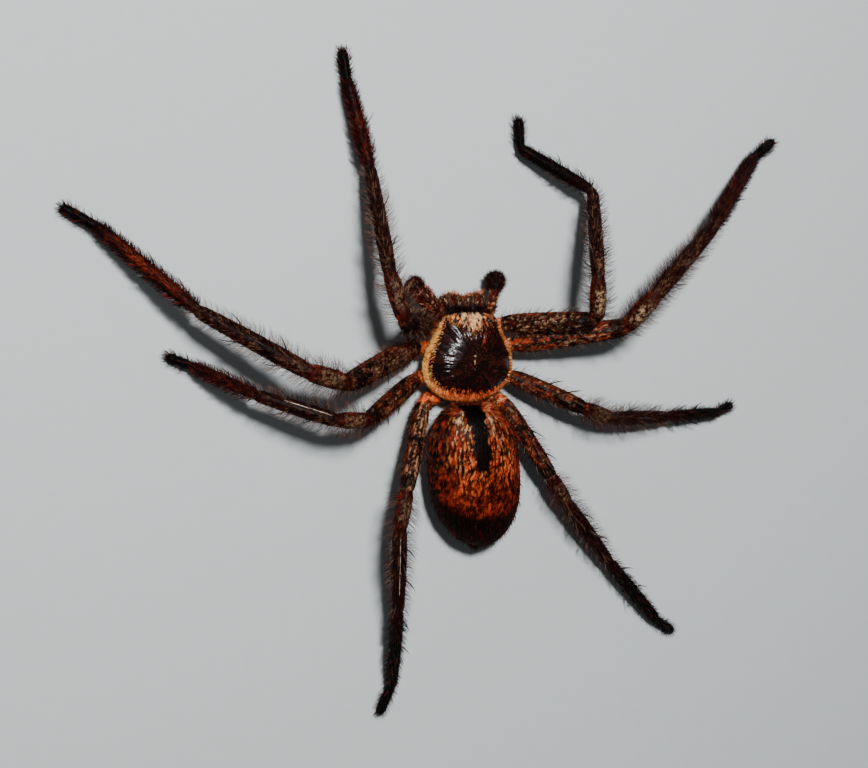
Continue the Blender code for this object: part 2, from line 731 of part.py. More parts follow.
def fuse_spines(limb, spines):
    """Join the spines to the limb that they grow from."""
    if spines:
        apply_boolean(limb, "UNION", spines, "MANIFOLD")


def centre_on_origin(body):
    """Move the whole spider so that the origin is the bottom centre of its box."""
    bpy.context.view_layer.update()
    corners = [made.matrix_world @ vert.co for made in bpy.data.objects if made.type == "MESH"
               for vert in made.data.vertices]
    low = Vector([min(c[i] for c in corners) for i in range(3)])
    high = Vector([max(c[i] for c in corners) for i in range(3)])
    body.location = (-(low.x + high.x) / 2, -(low.y + high.y) / 2, -low.z)


def main():
    clear_scene()
    body = bpy.data.objects.new("spider", None)
    bpy.context.scene.collection.objects.link(body)
    make_carapace()
    make_eyes()
    dress(core_shape("sternum"), BROWN, 0.7)
    dress(abdomen_shape("abdomen"), ORANGE, 0.7)
    make_pedicel()
    make_spinnerets()
    neighbours = {"left": [], "right": []}
    make_jaws(neighbours)
    make_palps(neighbours)
    dice = random.Random(SPINE_SEED)
    for word, number in STANCES:
        make_leg(word, number, neighbours, dice)
    centre_on_origin(body)


main()
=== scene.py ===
"""Looks of a life-size huntsman spider model: skin, shield, eyes, fangs, spines and coat.

The file is laid out as an add-on and runs as a script. Body coordinates have the head
towards -Y and the spider's own left towards +X.
"""

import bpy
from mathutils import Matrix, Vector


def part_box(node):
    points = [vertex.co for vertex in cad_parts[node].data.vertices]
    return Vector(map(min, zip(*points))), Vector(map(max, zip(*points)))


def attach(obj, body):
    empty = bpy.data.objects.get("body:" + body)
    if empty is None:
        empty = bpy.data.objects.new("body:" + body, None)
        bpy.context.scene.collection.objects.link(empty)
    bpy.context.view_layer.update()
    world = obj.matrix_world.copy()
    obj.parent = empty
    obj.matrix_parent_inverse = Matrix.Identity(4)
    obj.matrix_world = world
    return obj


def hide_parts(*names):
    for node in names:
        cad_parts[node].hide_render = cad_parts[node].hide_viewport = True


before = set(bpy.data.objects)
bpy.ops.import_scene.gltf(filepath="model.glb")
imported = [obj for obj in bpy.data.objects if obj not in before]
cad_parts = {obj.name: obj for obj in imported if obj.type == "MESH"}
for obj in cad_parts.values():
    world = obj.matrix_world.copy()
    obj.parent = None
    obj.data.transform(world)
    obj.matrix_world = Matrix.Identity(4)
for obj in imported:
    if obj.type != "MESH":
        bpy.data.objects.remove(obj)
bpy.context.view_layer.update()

import math
from collections import namedtuple

import bpy
import numpy as np
from mathutils import Matrix, Vector

bl_info = {
    "name": "Huntsman Spider Looks",
    "version": (1, 0, 0),
    "blender": (4, 5, 0),
    "location": "3D View > Sidebar > Spider",
    "description": "Builds the skin, shield, spines and hairs of a huntsman spider around its solids",
    "category": "Add Mesh",
}

MM = 0.001
UP = Vector((0.0, 0.0, 1.0))
SIDES = {"left": 1, "right": -1}
ABDOMEN_FRONT = 6.1
SHIELD_LOW, SHIELD_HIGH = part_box("carapace")
SHIFT = Vector(((SHIELD_LOW.x + SHIELD_HIGH.x) / 2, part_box("abdomen")[0].y - ABDOMEN_FRONT * MM, 0.0))
CARAPACE_FRONT = (SHIELD_LOW.y - SHIFT.y) / MM

# Parts of the skin, as stored with each of its points.
PARTS = ("thorax", "abdomen", "coxa", "femur", "patella", "tibia", "metatarsus", "tarsus",
         "palp", "palp_tip", "jaw", "spinneret")
PART = {word: number for number, word in enumerate(PARTS)}

# The pose and sizes of the legs, the same as the solids have.
Lengths = namedtuple("Lengths", "femur patella tibia metatarsus tarsus")
LEG_LENGTHS = {
    1: Lengths(15.0, 7.5, 18.0, 13.6, 4.8),
    2: Lengths(18.0, 7.5, 18.0, 19.0, 5.6),
    3: Lengths(13.0, 6.4, 12.2, 11.2, 4.1),
    4: Lengths(14.8, 6.0, 14.5, 15.6, 5.3),
}
Girths = namedtuple("Girths", "femur tibia metatarsus tarsus")
LEG_GIRTHS = {
    1: Girths(1.70, 1.24, 1.05, 0.82),
    2: Girths(1.85, 1.40, 1.10, 0.85),
    3: Girths(1.55, 1.25, 1.00, 0.78),
    4: Girths(1.50, 1.28, 1.08, 0.82),
}
Hip = namedtuple("Hip", "across back inner")
HIPS = {1: Hip(6.7, -5.9, -3.6), 2: Hip(8.6, -2.6, -1.1), 3: Hip(8.3, 2.6, 1.5), 4: Hip(7.0, 6.7, 4.1)}
HIP_HEIGHT = 4.4
COXA_HEIGHT = 3.25
COXA_INNER = 2.0
COXA_GIRTH = 1.25
ELBOW_SHARE = 0.72
ELBOW_RISE = 0.1
ELBOW_PASSED = 0.6
KNEECAP_SHARE = 0.96
ANKLE_HEIGHT = 2.3
TOE_HEIGHT = 0.72
Stance = namedtuple("Stance", "femur patella tibia metatarsus tarsus")
STANCES = {
    ("left", 1): Stance((77, 55), (15, -13), (-1, -33), 12, 5),
    ("left", 2): Stance((105, 34), (72, 17), (60, -23), 48, 61),
    ("left", 3): Stance((116, 30), (84, 21), (72, -17), 65, 69),
    ("left", 4): Stance((156, 29), (169, 4), (186, -15), 186, 164),
    ("right", 1): Stance((84, 38), (-14, 23), (19, -39), -61, 3),
    ("right", 2): Stance((79, 24), (24, 37), (52, -17), 49, 58),
    ("right", 3): Stance((114, 15), (110, -11), (93, -12), 90, 76),
    ("right", 4): Stance((147, 8), (144, -8), (140, -7), 137, 125),
}
# How thick each part of a leg is along its length, as shares of its girth.
SWELLS = {
    "coxa": ((0.0, 0.95), (0.45, 1.0), (0.66, 0.97), (0.72, 0.84), (0.8, 0.98), (0.93, 0.95), (1.0, 0.78)),
    "femur": ((0.0, 0.72), (0.05, 0.86), (0.2, 0.98), (0.45, 1.0), (0.75, 0.96), (0.93, 0.88), (1.0, 0.72)),
    "patella": ((0.0, 0.74), (0.1, 0.92), (0.5, 1.0), (0.88, 0.93), (1.0, 0.76)),
    "tibia": ((0.0, 0.80), (0.06, 0.94), (0.3, 1.0), (0.65, 0.95), (0.94, 0.85), (1.0, 0.72)),
    "metatarsus": ((0.0, 0.74), (0.06, 0.9), (0.3, 1.0), (0.7, 0.97), (0.94, 0.9), (1.0, 0.74)),
    "tarsus": ((0.0, 0.78), (0.12, 0.92), (0.6, 1.0), (0.9, 1.0), (1.0, 0.86)),
}

# Places of the legs in the row of limbs.
LEFT_1, LEFT_2, LEFT_3, LEFT_4, RIGHT_1, RIGHT_2, RIGHT_3, RIGHT_4 = range(len(STANCES))
HIND_LEGS = (LEFT_3, LEFT_4, RIGHT_3, RIGHT_4)
# Legs with the widest brushes along their shanks.
BRUSHED_LEGS = (LEFT_1, LEFT_2, LEFT_3, RIGHT_2)

# Where the stout spines stand on each part of a leg: share along it and turn round it.
SPINE_PLACES = {
    "femur": ((0.34, 0.1), (0.58, -0.1), (0.80, 0.1), (0.45, 1.0), (0.72, 1.0), (0.5, -1.0), (0.78, -1.0)),
    "tibia": ((0.25, 1.2), (0.62, 1.2), (0.25, -1.2), (0.62, -1.2), (0.14, 2.4), (0.5, 2.4),
              (0.14, -2.4), (0.5, -2.4), (0.4, 0.1)),
    "metatarsus": ((0.16, 1.3), (0.45, 1.3), (0.16, -1.3), (0.45, -1.3), (0.1, 2.3), (0.1, -2.3)),
}

# Where the bare lines lie on two shins, painted pale as a painted highlight of their gloss: turn, stretch and
# the place where each thins out.
ShinLine = namedtuple("ShinLine", "limb turn first last gap")
SHIN_LINES = (ShinLine(LEFT_3, 0.50, 0.04, 0.70, 0.45), ShinLine(LEFT_4, -0.26, 0.03, 0.78, 0.66))

# How the limbs' corners are rounded: half thicknesses at the corners, and steps along the line.
LEG_ROUNDING = (1.3, 1.3, 1.2)
PALP_ROUNDING = (0.8, 0.8, 0.9, 0.9, 1.2)
JAW_ROUNDING = (1.0, 1.2, 1.2, 1.2, 1.0)
LEG_STEP = 0.4
MOUTH_STEP = 0.25
CORNER_STEPS = 8
CORNER_EASE = 0.8
CORNER_MOST = 0.42

# Palps, jaws, thorax and abdomen.
Palp = namedtuple("Palp", "path girths")
PALPS = {
    "left": Palp(((2.0, -4.4, 3.1), (4.4, -7.5, 3.9), (6.6, -9.7, 5.3), (7.9, -11.2, 4.6), (8.9, -12.7, 3.0)),
                 ((0.0, 0.75), (0.9, 0.9), (1.0, 0.80), (1.2, 1.1), (1.9, 1.38), (2.0, 1.15), (2.2, 1.38),
                  (2.85, 1.40), (3.0, 1.18), (3.3, 1.45), (3.7, 1.55), (3.93, 1.3), (4.0, 0.85))),
    "right": Palp(((2.0, -4.4, 3.1), (4.3, -7.4, 3.9), (3.9, -9.5, 5.8), (4.7, -11.2, 4.9),
                   (5.7, -13.5, 2.9)),
                  ((0.0, 0.75), (0.9, 0.8), (1.0, 0.62), (1.15, 0.78), (1.9, 0.80), (2.0, 0.62), (2.15, 0.74),
                   (2.85, 0.78), (3.0, 0.80), (3.25, 1.35), (3.6, 1.68), (3.9, 1.5), (4.0, 0.95))),
}
JAW_PATH = ((1.5, -4.8, 3.1), (1.95, -6.6, 3.05), (2.05, -7.9, 3.0), (2.05, -9.2, 2.8), (2.03, -10.2, 2.4))
JAW_GIRTHS = ((0.0, 1.1), (1.0, 1.4), (2.0, 1.66), (3.0, 1.80), (3.7, 1.72), (4.0, 1.3))
JAW_FLATNESS = 0.82
JAW_CENTRE = (0.0, -7.0, 3.0)
# Tubes that join the two jaws and the two halves of the body: points and girths.
JAW_CLEFT = (((0.0, -7.0, 2.8), (0.0, -8.5, 2.75), (0.0, -10.05, 2.6)), (0.9, 1.3, 1.05))
WAIST = (((0.0, 3.5, 4.2), (0.0, 5.5, 4.4), (0.0, 8.5, 5.2)), (1.1, 0.85, 1.1))
THORAX_CENTRE = (0.0, -0.4, 4.15)
THORAX_HALVES = (4.9, 5.9, 1.75)
ABDOMEN_LENGTH = 23.7
ABDOMEN_HALF_WIDTH = 7.8
ABDOMEN_HALF_HEIGHT = 5.6
ABDOMEN_HEIGHT = 7.5
ABDOMEN_DROOP = 1.6
ABDOMEN_SWING = -2.9
ABDOMEN_PILE = 3.5
ABDOMEN_SKIN_FROM = 6.4
# Two pairs of small pits on the abdomen's back.
PIT_DEPTH = 0.18
PIT_ACROSS = 2.1
PIT_PLACES = (0.24, 0.42)
STRIPE_END = 0.425
# The spinnerets' place along the abdomen, the top of their knob, and half the stretch that is theirs.
SPINNERET_PLACE = 0.955
SPINNERET_TOP = 4.2
SPINNERET_REACH = 5.0

# The shield.
CARAPACE_REAR = 5.8
CARAPACE_HALF_WIDTH = 7.4
HEAD_HALF_WIDTH = 4.5
RIM_HEIGHT = 5.25
RIM_THICKNESS = 0.45
BROW_RISE = 0.25
CARAPACE_TOP = 8.55
CARAPACE_CENTRE_Y = -0.6
CARAPACE_WIDEST_Y = 0.4
HEAD_DROP = 0.6
HEAD_SQUARENESS = 24
GROOVE_ANGLES = (1.05, 1.42, 1.88, 2.35)
FOVEA_Y = (-1.6, 0.5)
SHIELD_HOLLOW = 0.5
LIP_FROM = 0.97
LIP_DROP = 0.15

# Fangs and claws.
FANG_INSET = 0.4
FANG_GIRTH = 0.37
FANG_BEND = 0.3
CLAW_LENGTH = 0.75
CLAW_SPREAD = 0.22
CLAW_GIRTH = 0.09
CLAW_ARCH = 0.35
CLAW_DROP = 0.45

# How many of the skin's points are set against the limbs' lines at once, to save memory.
POINTS_AT_ONCE = 4000
# Triangles of one hair, the most in one piece of coat, and the tiles in a row of its unwrap.
HAIR_FACES = 10
PIECE_FACES = 185000
TILES = 12
# Shares along a hair where it has three corners, its depth in the skin and its painted shade at the root.
FINE_LEVELS = (0.0, 0.55)
STOUT_LEVELS = (0.0, 0.33, 0.68)
ROOT_DEPTH = 0.12
ROOT_SHADE = 0.72
LOWEST_HAIR = 0.03
# Hairs for each square millimetre, their share of the full length, width, and rise from and to.
Bed = namedtuple("Bed", "name slot parts density length width rise")
PILE_BEDS = (
    Bed("pile_abdomen", "abdomen", ("abdomen",), 31.0, 0.60, 0.075, (8, 28)),
    Bed("pile_thighs", "legs", ("coxa", "femur", "patella"), 18.5, 0.50, 0.060, (12, 34)),
    Bed("pile_shins", "legs", ("tibia",), 20.0, 0.55, 0.065, (10, 34)),
    Bed("pile_feet", "legs", ("metatarsus", "tarsus"), 20.0, 0.60, 0.075, (18, 45)),
    Bed("pile_body", "legs", ("thorax", "palp", "palp_tip", "jaw", "spinneret"), 18.0, 0.75, 0.075, (22, 60)),
)
HAIR_BEDS = (
    Bed("hairs_thighs", "legs", ("femur",), 3.8, 0.62, 0.042, (58, 84)),
    Bed("hairs_shins", "legs", ("patella", "tibia"), 9.0, 1.06, 0.038, (62, 84)),
    Bed("hairs_feet", "legs", ("metatarsus", "tarsus"), 9.0, 0.50, 0.065, (48, 76)),
    Bed("hairs_body", "legs", ("palp", "palp_tip", "jaw", "coxa"), 8.0, 0.36, 0.055, (45, 85)),
    Bed("hairs_abdomen", "abdomen", ("abdomen", "spinneret"), 3.0, 0.45, 0.055, (25, 62)),
)
RIM_HAIRS = 12000
DOWN_HAIRS = 5000
FACE_HAIRS = 9000
BRISTLE_DENSITY = 38.0

PAINTS = ("cream", "straw", "orange", "rust", "maroon", "brown", "olive", "black")

# The photo's frame and camera.
PHOTO_WIDTH = 868
FOCAL_PIXELS = 1579.83
SENSOR_MM = 36.0
CAMERA_PLACE = (100.314, -31.971, 230.598)
CAMERA_RIGHT = (-0.92272, -0.02254, 0.38481)
CAMERA_UP = (-0.03433, -0.98952, -0.14026)
FLOOR_SIZE = 3.0
SKY = {"Color": (0.90, 0.95, 1.0, 1.0), "Strength": 0.09}

# Each lamp's way from the spider, as shares of the camera's back, right and up, and its distance.
Lamp = namedtuple("Lamp", "name back right up distance size power glossy")
LAMPS = (
    Lamp("key", 0.95, 0.18, 0.23, 0.45, 0.045, 4.7, True),
    Lamp("fill", 0.8, -1.0, 0.2, 0.5, 0.30, 0.25, False),
    Lamp("rim", 0.5, 0.0, 1.0, 0.5, 0.25, 0.25, False),
)


def length_property(name, description, default):
    """A length that a user may change, with its default in millimetres."""
    return bpy.props.FloatProperty(name=name, description=description, default=default * MM, unit="LENGTH")


def colour_property(name, description, default):
    """A colour that a user may change."""
    return bpy.props.FloatVectorProperty(
        name=name, description=description, subtype="COLOR", size=3, min=0.0, max=1.0, default=default)


class SpiderSizes(bpy.types.PropertyGroup):
    """Sizes that a user may change."""
    pile_depth: length_property("Pile Depth", "How far the skin lies inside the solids", 0.06)
    skin_grain: length_property("Skin Grain", "Size of the skin's smallest faces", 0.275)
    leg_hair: length_property("Leg Hair", "Length of the long erect hairs on a shin", 2.6)
    pile: length_property("Pile", "Length of the short lying hairs", 0.75)
    spine: length_property("Spine", "Length of the stout leg spines", 2.4)
    seed: bpy.props.IntProperty(name="Seed", description="Start of every random draw", default=1790)


class SpiderColours(bpy.types.PropertyGroup):
    """Colours of the markings and the floor."""
    cream: colour_property("Cream", "Palest hairs and flecks", (0.78, 0.50, 0.27))
    straw: colour_property("Straw", "Yellow-orange hairs of the shield's rim", (0.80, 0.26, 0.055))
    orange: colour_property("Orange", "Brightest markings", (0.46, 0.050, 0.014))
    rust: colour_property("Rust", "Reddish ground of the markings", (0.17, 0.014, 0.006))
    maroon: colour_property("Maroon", "Dark red-brown", (0.040, 0.006, 0.004))
    brown: colour_property("Brown", "Dark brown ground of the legs", (0.034, 0.012, 0.007))
    olive: colour_property("Olive", "Greyish brown of the thighs", (0.040, 0.018, 0.008))
    black: colour_property("Black", "Stripe and feet", (0.0025, 0.0015, 0.0012))
    floor: colour_property("Floor", "The plain floor", (0.37, 0.39, 0.395))


def sizes():
    return bpy.context.scene.spider_sizes


def tones(*names):
    """Colours of the markings as arrays."""
    return [np.array(getattr(bpy.context.scene.spider_colours, name)[:]) for name in names]


# Small helpers.

def unit(rows):
    """Rows of vectors at length one."""
    return rows / np.maximum(np.linalg.norm(rows, axis=-1, keepdims=True), 1e-12)


def upward(rows):
    """Rows of vectors at length one, turned over where they point down."""
    rows = unit(rows)
    return rows * np.where(rows[:, 2:3] < 0, -1.0, 1.0)


def level_of(lie):
    """Level directions across each lie, on the side towards the head."""
    level = unit(np.stack([-lie[:, 1], lie[:, 0], lie[:, 0] * 0], axis=1))
    return level * np.where(level[:, 1:2] > 0, -1.0, 1.0)


def turned_out(lie, turn):
    """Directions out of a limb, at a turn round each lie from its top."""
    level = level_of(lie)
    return upward(np.cross(level, lie)) * math.cos(turn) + level * math.sin(turn)


def smooth(low, high, value):
    """0 below low, 1 above high, and an even curve between."""
    t = np.clip((value - low) / (high - low), 0.0, 1.0)
    return t * t * (3 - 2 * t)


def mix(first, second, share):
    """Blend of two colours or rows of colours."""
    share = np.asarray(share)[:, None]
    return first * (1 - share) + second * share


def layered(ground, *layers):
    """A ground colour under further colours, each given with its share."""
    for colour, share in layers:
        ground = mix(ground, colour, share)
    return ground


def grain(points, seed=0):
    """Smooth random values from 0 to 1 over space, one lattice cell a unit across."""
    cell = np.floor(points).astype(np.int64)
    inside = points - cell
    inside = inside * inside * (3 - 2 * inside)
    total = np.zeros(len(points))
    for corner in np.ndindex(2, 2, 2):
        spot = cell + np.array(corner)
        mixed = (spot[:, 0] * 73856093) ^ (spot[:, 1] * 19349663) ^ (spot[:, 2] * 83492791)
        mixed = mixed ^ (seed * 2654435761)
        mixed = (mixed ^ (mixed >> 13)) * 1274126177 & 0x7FFFFFFF
        value = ((mixed ^ (mixed >> 16)) & 0xFFFF) / 65535.0
        weight = np.prod(np.where(np.array(corner) == 1, inside, 1 - inside), axis=1)
        total += value * weight
    return total


def pattern(seed, x, y, z=0.5):
    """Grain over values that are given one by one."""
    return grain(np.stack([x, y, x * 0 + z], axis=1), seed)


def read(data, name, width):
    """Values of a mesh's points or attribute as rows."""
    values = np.zeros(len(data) * width, np.float32)
    data.foreach_get(name, values)
    return values.reshape(-1, width).astype(float)


def store(mesh, name, kind, field, values):
    """Add an attribute with a value at every point."""
    attribute = mesh.attributes.new(name, kind, "POINT")
    attribute.data.foreach_set(field, np.ascontiguousarray(values).reshape(-1))


def set_tint(mesh, colour):
    """Store a painted colour at every point."""
    rows = np.ones((len(mesh.vertices), 4))
    rows[:, :3] = colour
    store(mesh, "tint", "FLOAT_COLOR", "color", rows)


def deselect():
    if bpy.context.object and bpy.context.object.mode != "OBJECT":
        bpy.ops.object.mode_set(mode="OBJECT")
    bpy.ops.object.select_all(action="DESELECT")


def choose(*objects):
    """Select these objects only, the first of them active."""
    deselect()
    for each in objects:
        each.select_set(True)
    bpy.context.view_layer.objects.active = objects[0]


def link_object(name, data):
    """A new object in the scene for a mesh, curve, lamp or camera."""
    made = bpy.data.objects.new(name, data)
    bpy.context.scene.collection.objects.link(made)
    return made


def rename(piece, name):
    piece.name = piece.data.name = name
    return piece


def join(name, pieces):
    """Join pieces into one mesh."""
    choose(*pieces)
    bpy.ops.object.join()
    return rename(bpy.context.object, name)


def put_place_in_mesh(piece):
    """Leave the object at the origin, unturned and unscaled."""
    choose(piece)
    bpy.ops.object.transform_apply(location=True, rotation=True, scale=True)


def settle(piece, material, node_slot, *nodes):
    """Finish a piece with its material and tie it to the frame."""
    piece.data.materials.append(material)
    piece.data.shade_smooth()
    put_place_in_mesh(piece)
    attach(piece, "root")
    if nodes:
        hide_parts(*nodes)


def to_body(points):
    """World metres to body millimetres."""
    return (np.asarray(points) - np.array(SHIFT)) / MM


def to_world(points):
    """Body millimetres to world metres."""
    return np.asarray(points) * MM + np.array(SHIFT)


# The lines that the limbs follow, in body millimetres.

def heading(side, turn, rise):
    """Unit vector for a heading, outwards from straight ahead, and a rise, in degrees."""
    turn, rise = math.radians(turn), math.radians(rise)
    return Vector((side * math.sin(turn) * math.cos(rise), -math.cos(turn) * math.cos(rise), math.sin(rise)))


def leg_corners(word, number):
    """Corner points of one leg from its root to its toe, and the elbow of its coxa."""
    side = SIDES[word]
    lengths, hip, stance = LEG_LENGTHS[number], HIPS[number], STANCES[(word, number)]
    inner = Vector((side * COXA_INNER, hip.inner, COXA_HEIGHT))
    points = [inner, Vector((side * hip.across, hip.back, HIP_HEIGHT))]
    for length, aim in zip(lengths[:3], stance[:3]):
        points.append(points[-1] + heading(side, *aim) * length)
    for length, turn, height in ((lengths.metatarsus, stance.metatarsus, ANKLE_HEIGHT),
                                 (lengths.tarsus, stance.tarsus, TOE_HEIGHT)):
        rise = math.degrees(math.asin((height - points[-1].z) / length))
        points.append(points[-1] + heading(side, turn, rise) * length)
    elbow = inner.lerp(points[1], ELBOW_SHARE)
    elbow.z = COXA_HEIGHT + ELBOW_RISE
    return points, elbow


def rounded_line(points, halves, step):
    """Even points along a line with rounded corners, and how many corners each has passed."""
    dense, passed = [Vector(points[0])], [0.0]
    for index in range(1, len(points) - 1):
        corner = Vector(points[index])
        back, ahead = Vector(points[index - 1]) - corner, Vector(points[index + 1]) - corner
        turn = (-back).angle(ahead)
        cut = min((halves[index] + CORNER_EASE) * math.tan(turn / 2),
                  CORNER_MOST * back.length, CORNER_MOST * ahead.length)
        start, stop = corner + back.normalized() * cut, corner + ahead.normalized() * cut
        for part in range(CORNER_STEPS + 1):
            s = part / CORNER_STEPS
            dense.append((1 - s) ** 2 * start + 2 * s * (1 - s) * corner + s * s * stop)
            passed.append(index if s == 0.5 else None)
    dense.append(Vector(points[-1]))
    passed.append(len(points) - 1)
    dense = np.array([tuple(p) for p in dense])
    run = np.concatenate(([0.0], np.cumsum(np.linalg.norm(np.diff(dense, axis=0), axis=1))))
    marks = [(r, p) for r, p in zip(run, passed) if p is not None]
    even = np.linspace(0.0, run[-1], int(run[-1] / step) + 2)
    line = np.stack([np.interp(even, run, dense[:, axis]) for axis in range(3)], axis=1)
    return line, np.interp(even, *zip(*marks))


def limb_record(name, side, line, part, share, radius):
    """All that is known of one limb at each point of its line."""
    return dict(name=name, side=side, line=line, part=part, share=share, radius=radius,
                lie=unit(np.gradient(line, axis=0)))


def limb_lines():
    """Every limb: the left legs, the right legs, the palps and the jaws."""
    depth = sizes().pile_depth / MM
    limbs = []
    for word, number in STANCES:
        points, elbow = leg_corners(word, number)
        girth = LEG_GIRTHS[number]
        kneecap = (girth.femur + girth.tibia) / 2 * KNEECAP_SHARE
        girths = (COXA_GIRTH, girth.femur, kneecap, girth.tibia, girth.metatarsus, girth.tarsus)
        line, passed = rounded_line([points[0], elbow] + points[1:], LEG_ROUNDING + girths[2:], LEG_STEP)
        passed = np.interp(passed, range(8), (0, ELBOW_PASSED, 1, 2, 3, 4, 5, 6))
        place = np.minimum(passed.astype(int), 5)
        share = passed - place
        radius = np.zeros(len(line))
        for index, swells in enumerate(SWELLS.values()):
            here = place == index
            radius[here] = np.interp(share[here], *zip(*swells)) * girths[index] - depth
        part = np.array([PART[name] for name in SWELLS])[place]
        limbs.append(limb_record(f"leg_{word}_{number}", SIDES[word], line, part, share, radius))
    mouth = [("palp", word, *palp, PALP_ROUNDING) for word, palp in PALPS.items()]
    mouth += [("jaw", word, JAW_PATH, JAW_GIRTHS, JAW_ROUNDING) for word in SIDES]
    for kind, word, path, girths, halves in mouth:
        line, passed = rounded_line([(SIDES[word] * x, y, z) for x, y, z in path], halves, MOUTH_STEP)
        radius = np.interp(passed, *zip(*girths))
        part = np.full(len(line), PART[kind])
        if kind == "palp":
            radius = radius - depth * 0.4
            part[passed > 3.0] = PART["palp_tip"]
        limbs.append(limb_record(f"{kind}_{word}", SIDES[word], line, part, passed / 4, radius))
    return limbs


def tube(name, line, radius):
    """A round tube with its own radius at each point, as a mesh."""
    curve = bpy.data.curves.new(name, "CURVE")
    curve.dimensions = "3D"
    curve.bevel_depth = 1.0
    curve.bevel_resolution = 4
    curve.use_fill_caps = True
    spline = curve.splines.new("POLY")
    spline.points.add(len(line) - 1)
    for point, co, half in zip(spline.points, to_world(line), radius):
        point.co = (*co, 1.0)
        point.radius = half * MM
    choose(link_object(name, curve))
    bpy.ops.object.convert(target="MESH")
    return bpy.context.object


def abdomen_share(t):
    """Half width of the abdomen, as a share of the widest, along its length."""
    t = np.clip(t, 0.0, 1.0)
    front = (1 - ((0.5 - np.minimum(t, 0.5)) / 0.5) ** 3) ** 0.385
    rear = np.sqrt(np.maximum(0.0, 1 - ((np.maximum(t, 0.5) - 0.5) / 0.5) ** 2))
    return np.where(t < 0.5, front, rear)


def abdomen_centre(t):
    """Centre line of the abdomen along its length."""
    t = np.clip(t, 0.0, 1.0)
    return np.stack([ABDOMEN_SWING * t ** 1.5, ABDOMEN_FRONT + ABDOMEN_LENGTH * t,
                     ABDOMEN_HEIGHT - ABDOMEN_DROOP * t ** 2], axis=-1)


def pit_at(across, t):
    """Depth of the small pits at a place on the abdomen's back."""
    return PIT_DEPTH * sum(math.exp(-(((across - side * PIT_ACROSS) / 0.7) ** 2
                                      + ((t - at) * ABDOMEN_LENGTH / 0.8) ** 2))
                           for side in SIDES.values() for at in PIT_PLACES)


def make_abdomen():
    """A ball turned to lie along the body and shaped into the egg of the abdomen."""
    depth = sizes().pile_depth / MM * ABDOMEN_PILE
    deselect()
    bpy.ops.mesh.primitive_uv_sphere_add(segments=72, ring_count=48, radius=1.0,
                                         rotation=(math.radians(90), 0.0, 0.0))
    ball = bpy.context.object
    bpy.ops.object.transform_apply(location=False, rotation=True, scale=False)
    for vert in ball.data.vertices:
        x, y, z = vert.co
        t = np.clip(0.5 + y / 2, 0.0, 1.0)
        share = 0.0
        if math.hypot(x, z) > 1e-4:
            share = float(abdomen_share(t)) / max(math.sqrt(max(1e-9, 1 - y * y)), 1e-5)
        centre = abdomen_centre(t)
        centre[1] -= depth * y
        pit = pit_at(x * share * 7.6, t) if z > 0 else 0.0
        place = Vector((centre[0] + x * share * (ABDOMEN_HALF_WIDTH - depth), centre[1],
                        centre[2] + z * share * (ABDOMEN_HALF_HEIGHT - depth) - pit))
        vert.co = place * MM + SHIFT
    return ball


def make_thorax():
    """The body under the shield."""
    deselect()
    bpy.ops.mesh.primitive_uv_sphere_add(segments=48, ring_count=24, radius=1.0,
                                         location=Vector(THORAX_CENTRE) * MM + SHIFT)
    bpy.ops.transform.resize(value=[half * MM for half in THORAX_HALVES])
    return bpy.context.object


def spinneret_lines():
    """The knob under the abdomen's tip and its six short tapered tubes."""
    knob = Vector(abdomen_centre(np.array(SPINNERET_PLACE)).tolist())
    knob.z -= ABDOMEN_HALF_HEIGHT * float(abdomen_share(np.array(SPINNERET_PLACE))) * 0.6
    back = Vector((0.0, 0.86, -0.5)).normalized()
    lines = [([knob - back * 1.6, knob + back * 0.7], (1.2, 0.95))]
    for index in range(6):
        angle = math.tau * (index + 0.5) / 6
        out = Vector((math.cos(angle), 0.5 * math.sin(angle), 0.86 * math.sin(angle)))
        along = (back + out * 0.22).normalized()
        root = knob + back * 0.3 + out * 0.5
        lines.append(([root, root + along * 0.7, root + along * 0.75, root + along * 1.7],
                      (0.40, 0.38, 0.30, 0.14)))
    return lines


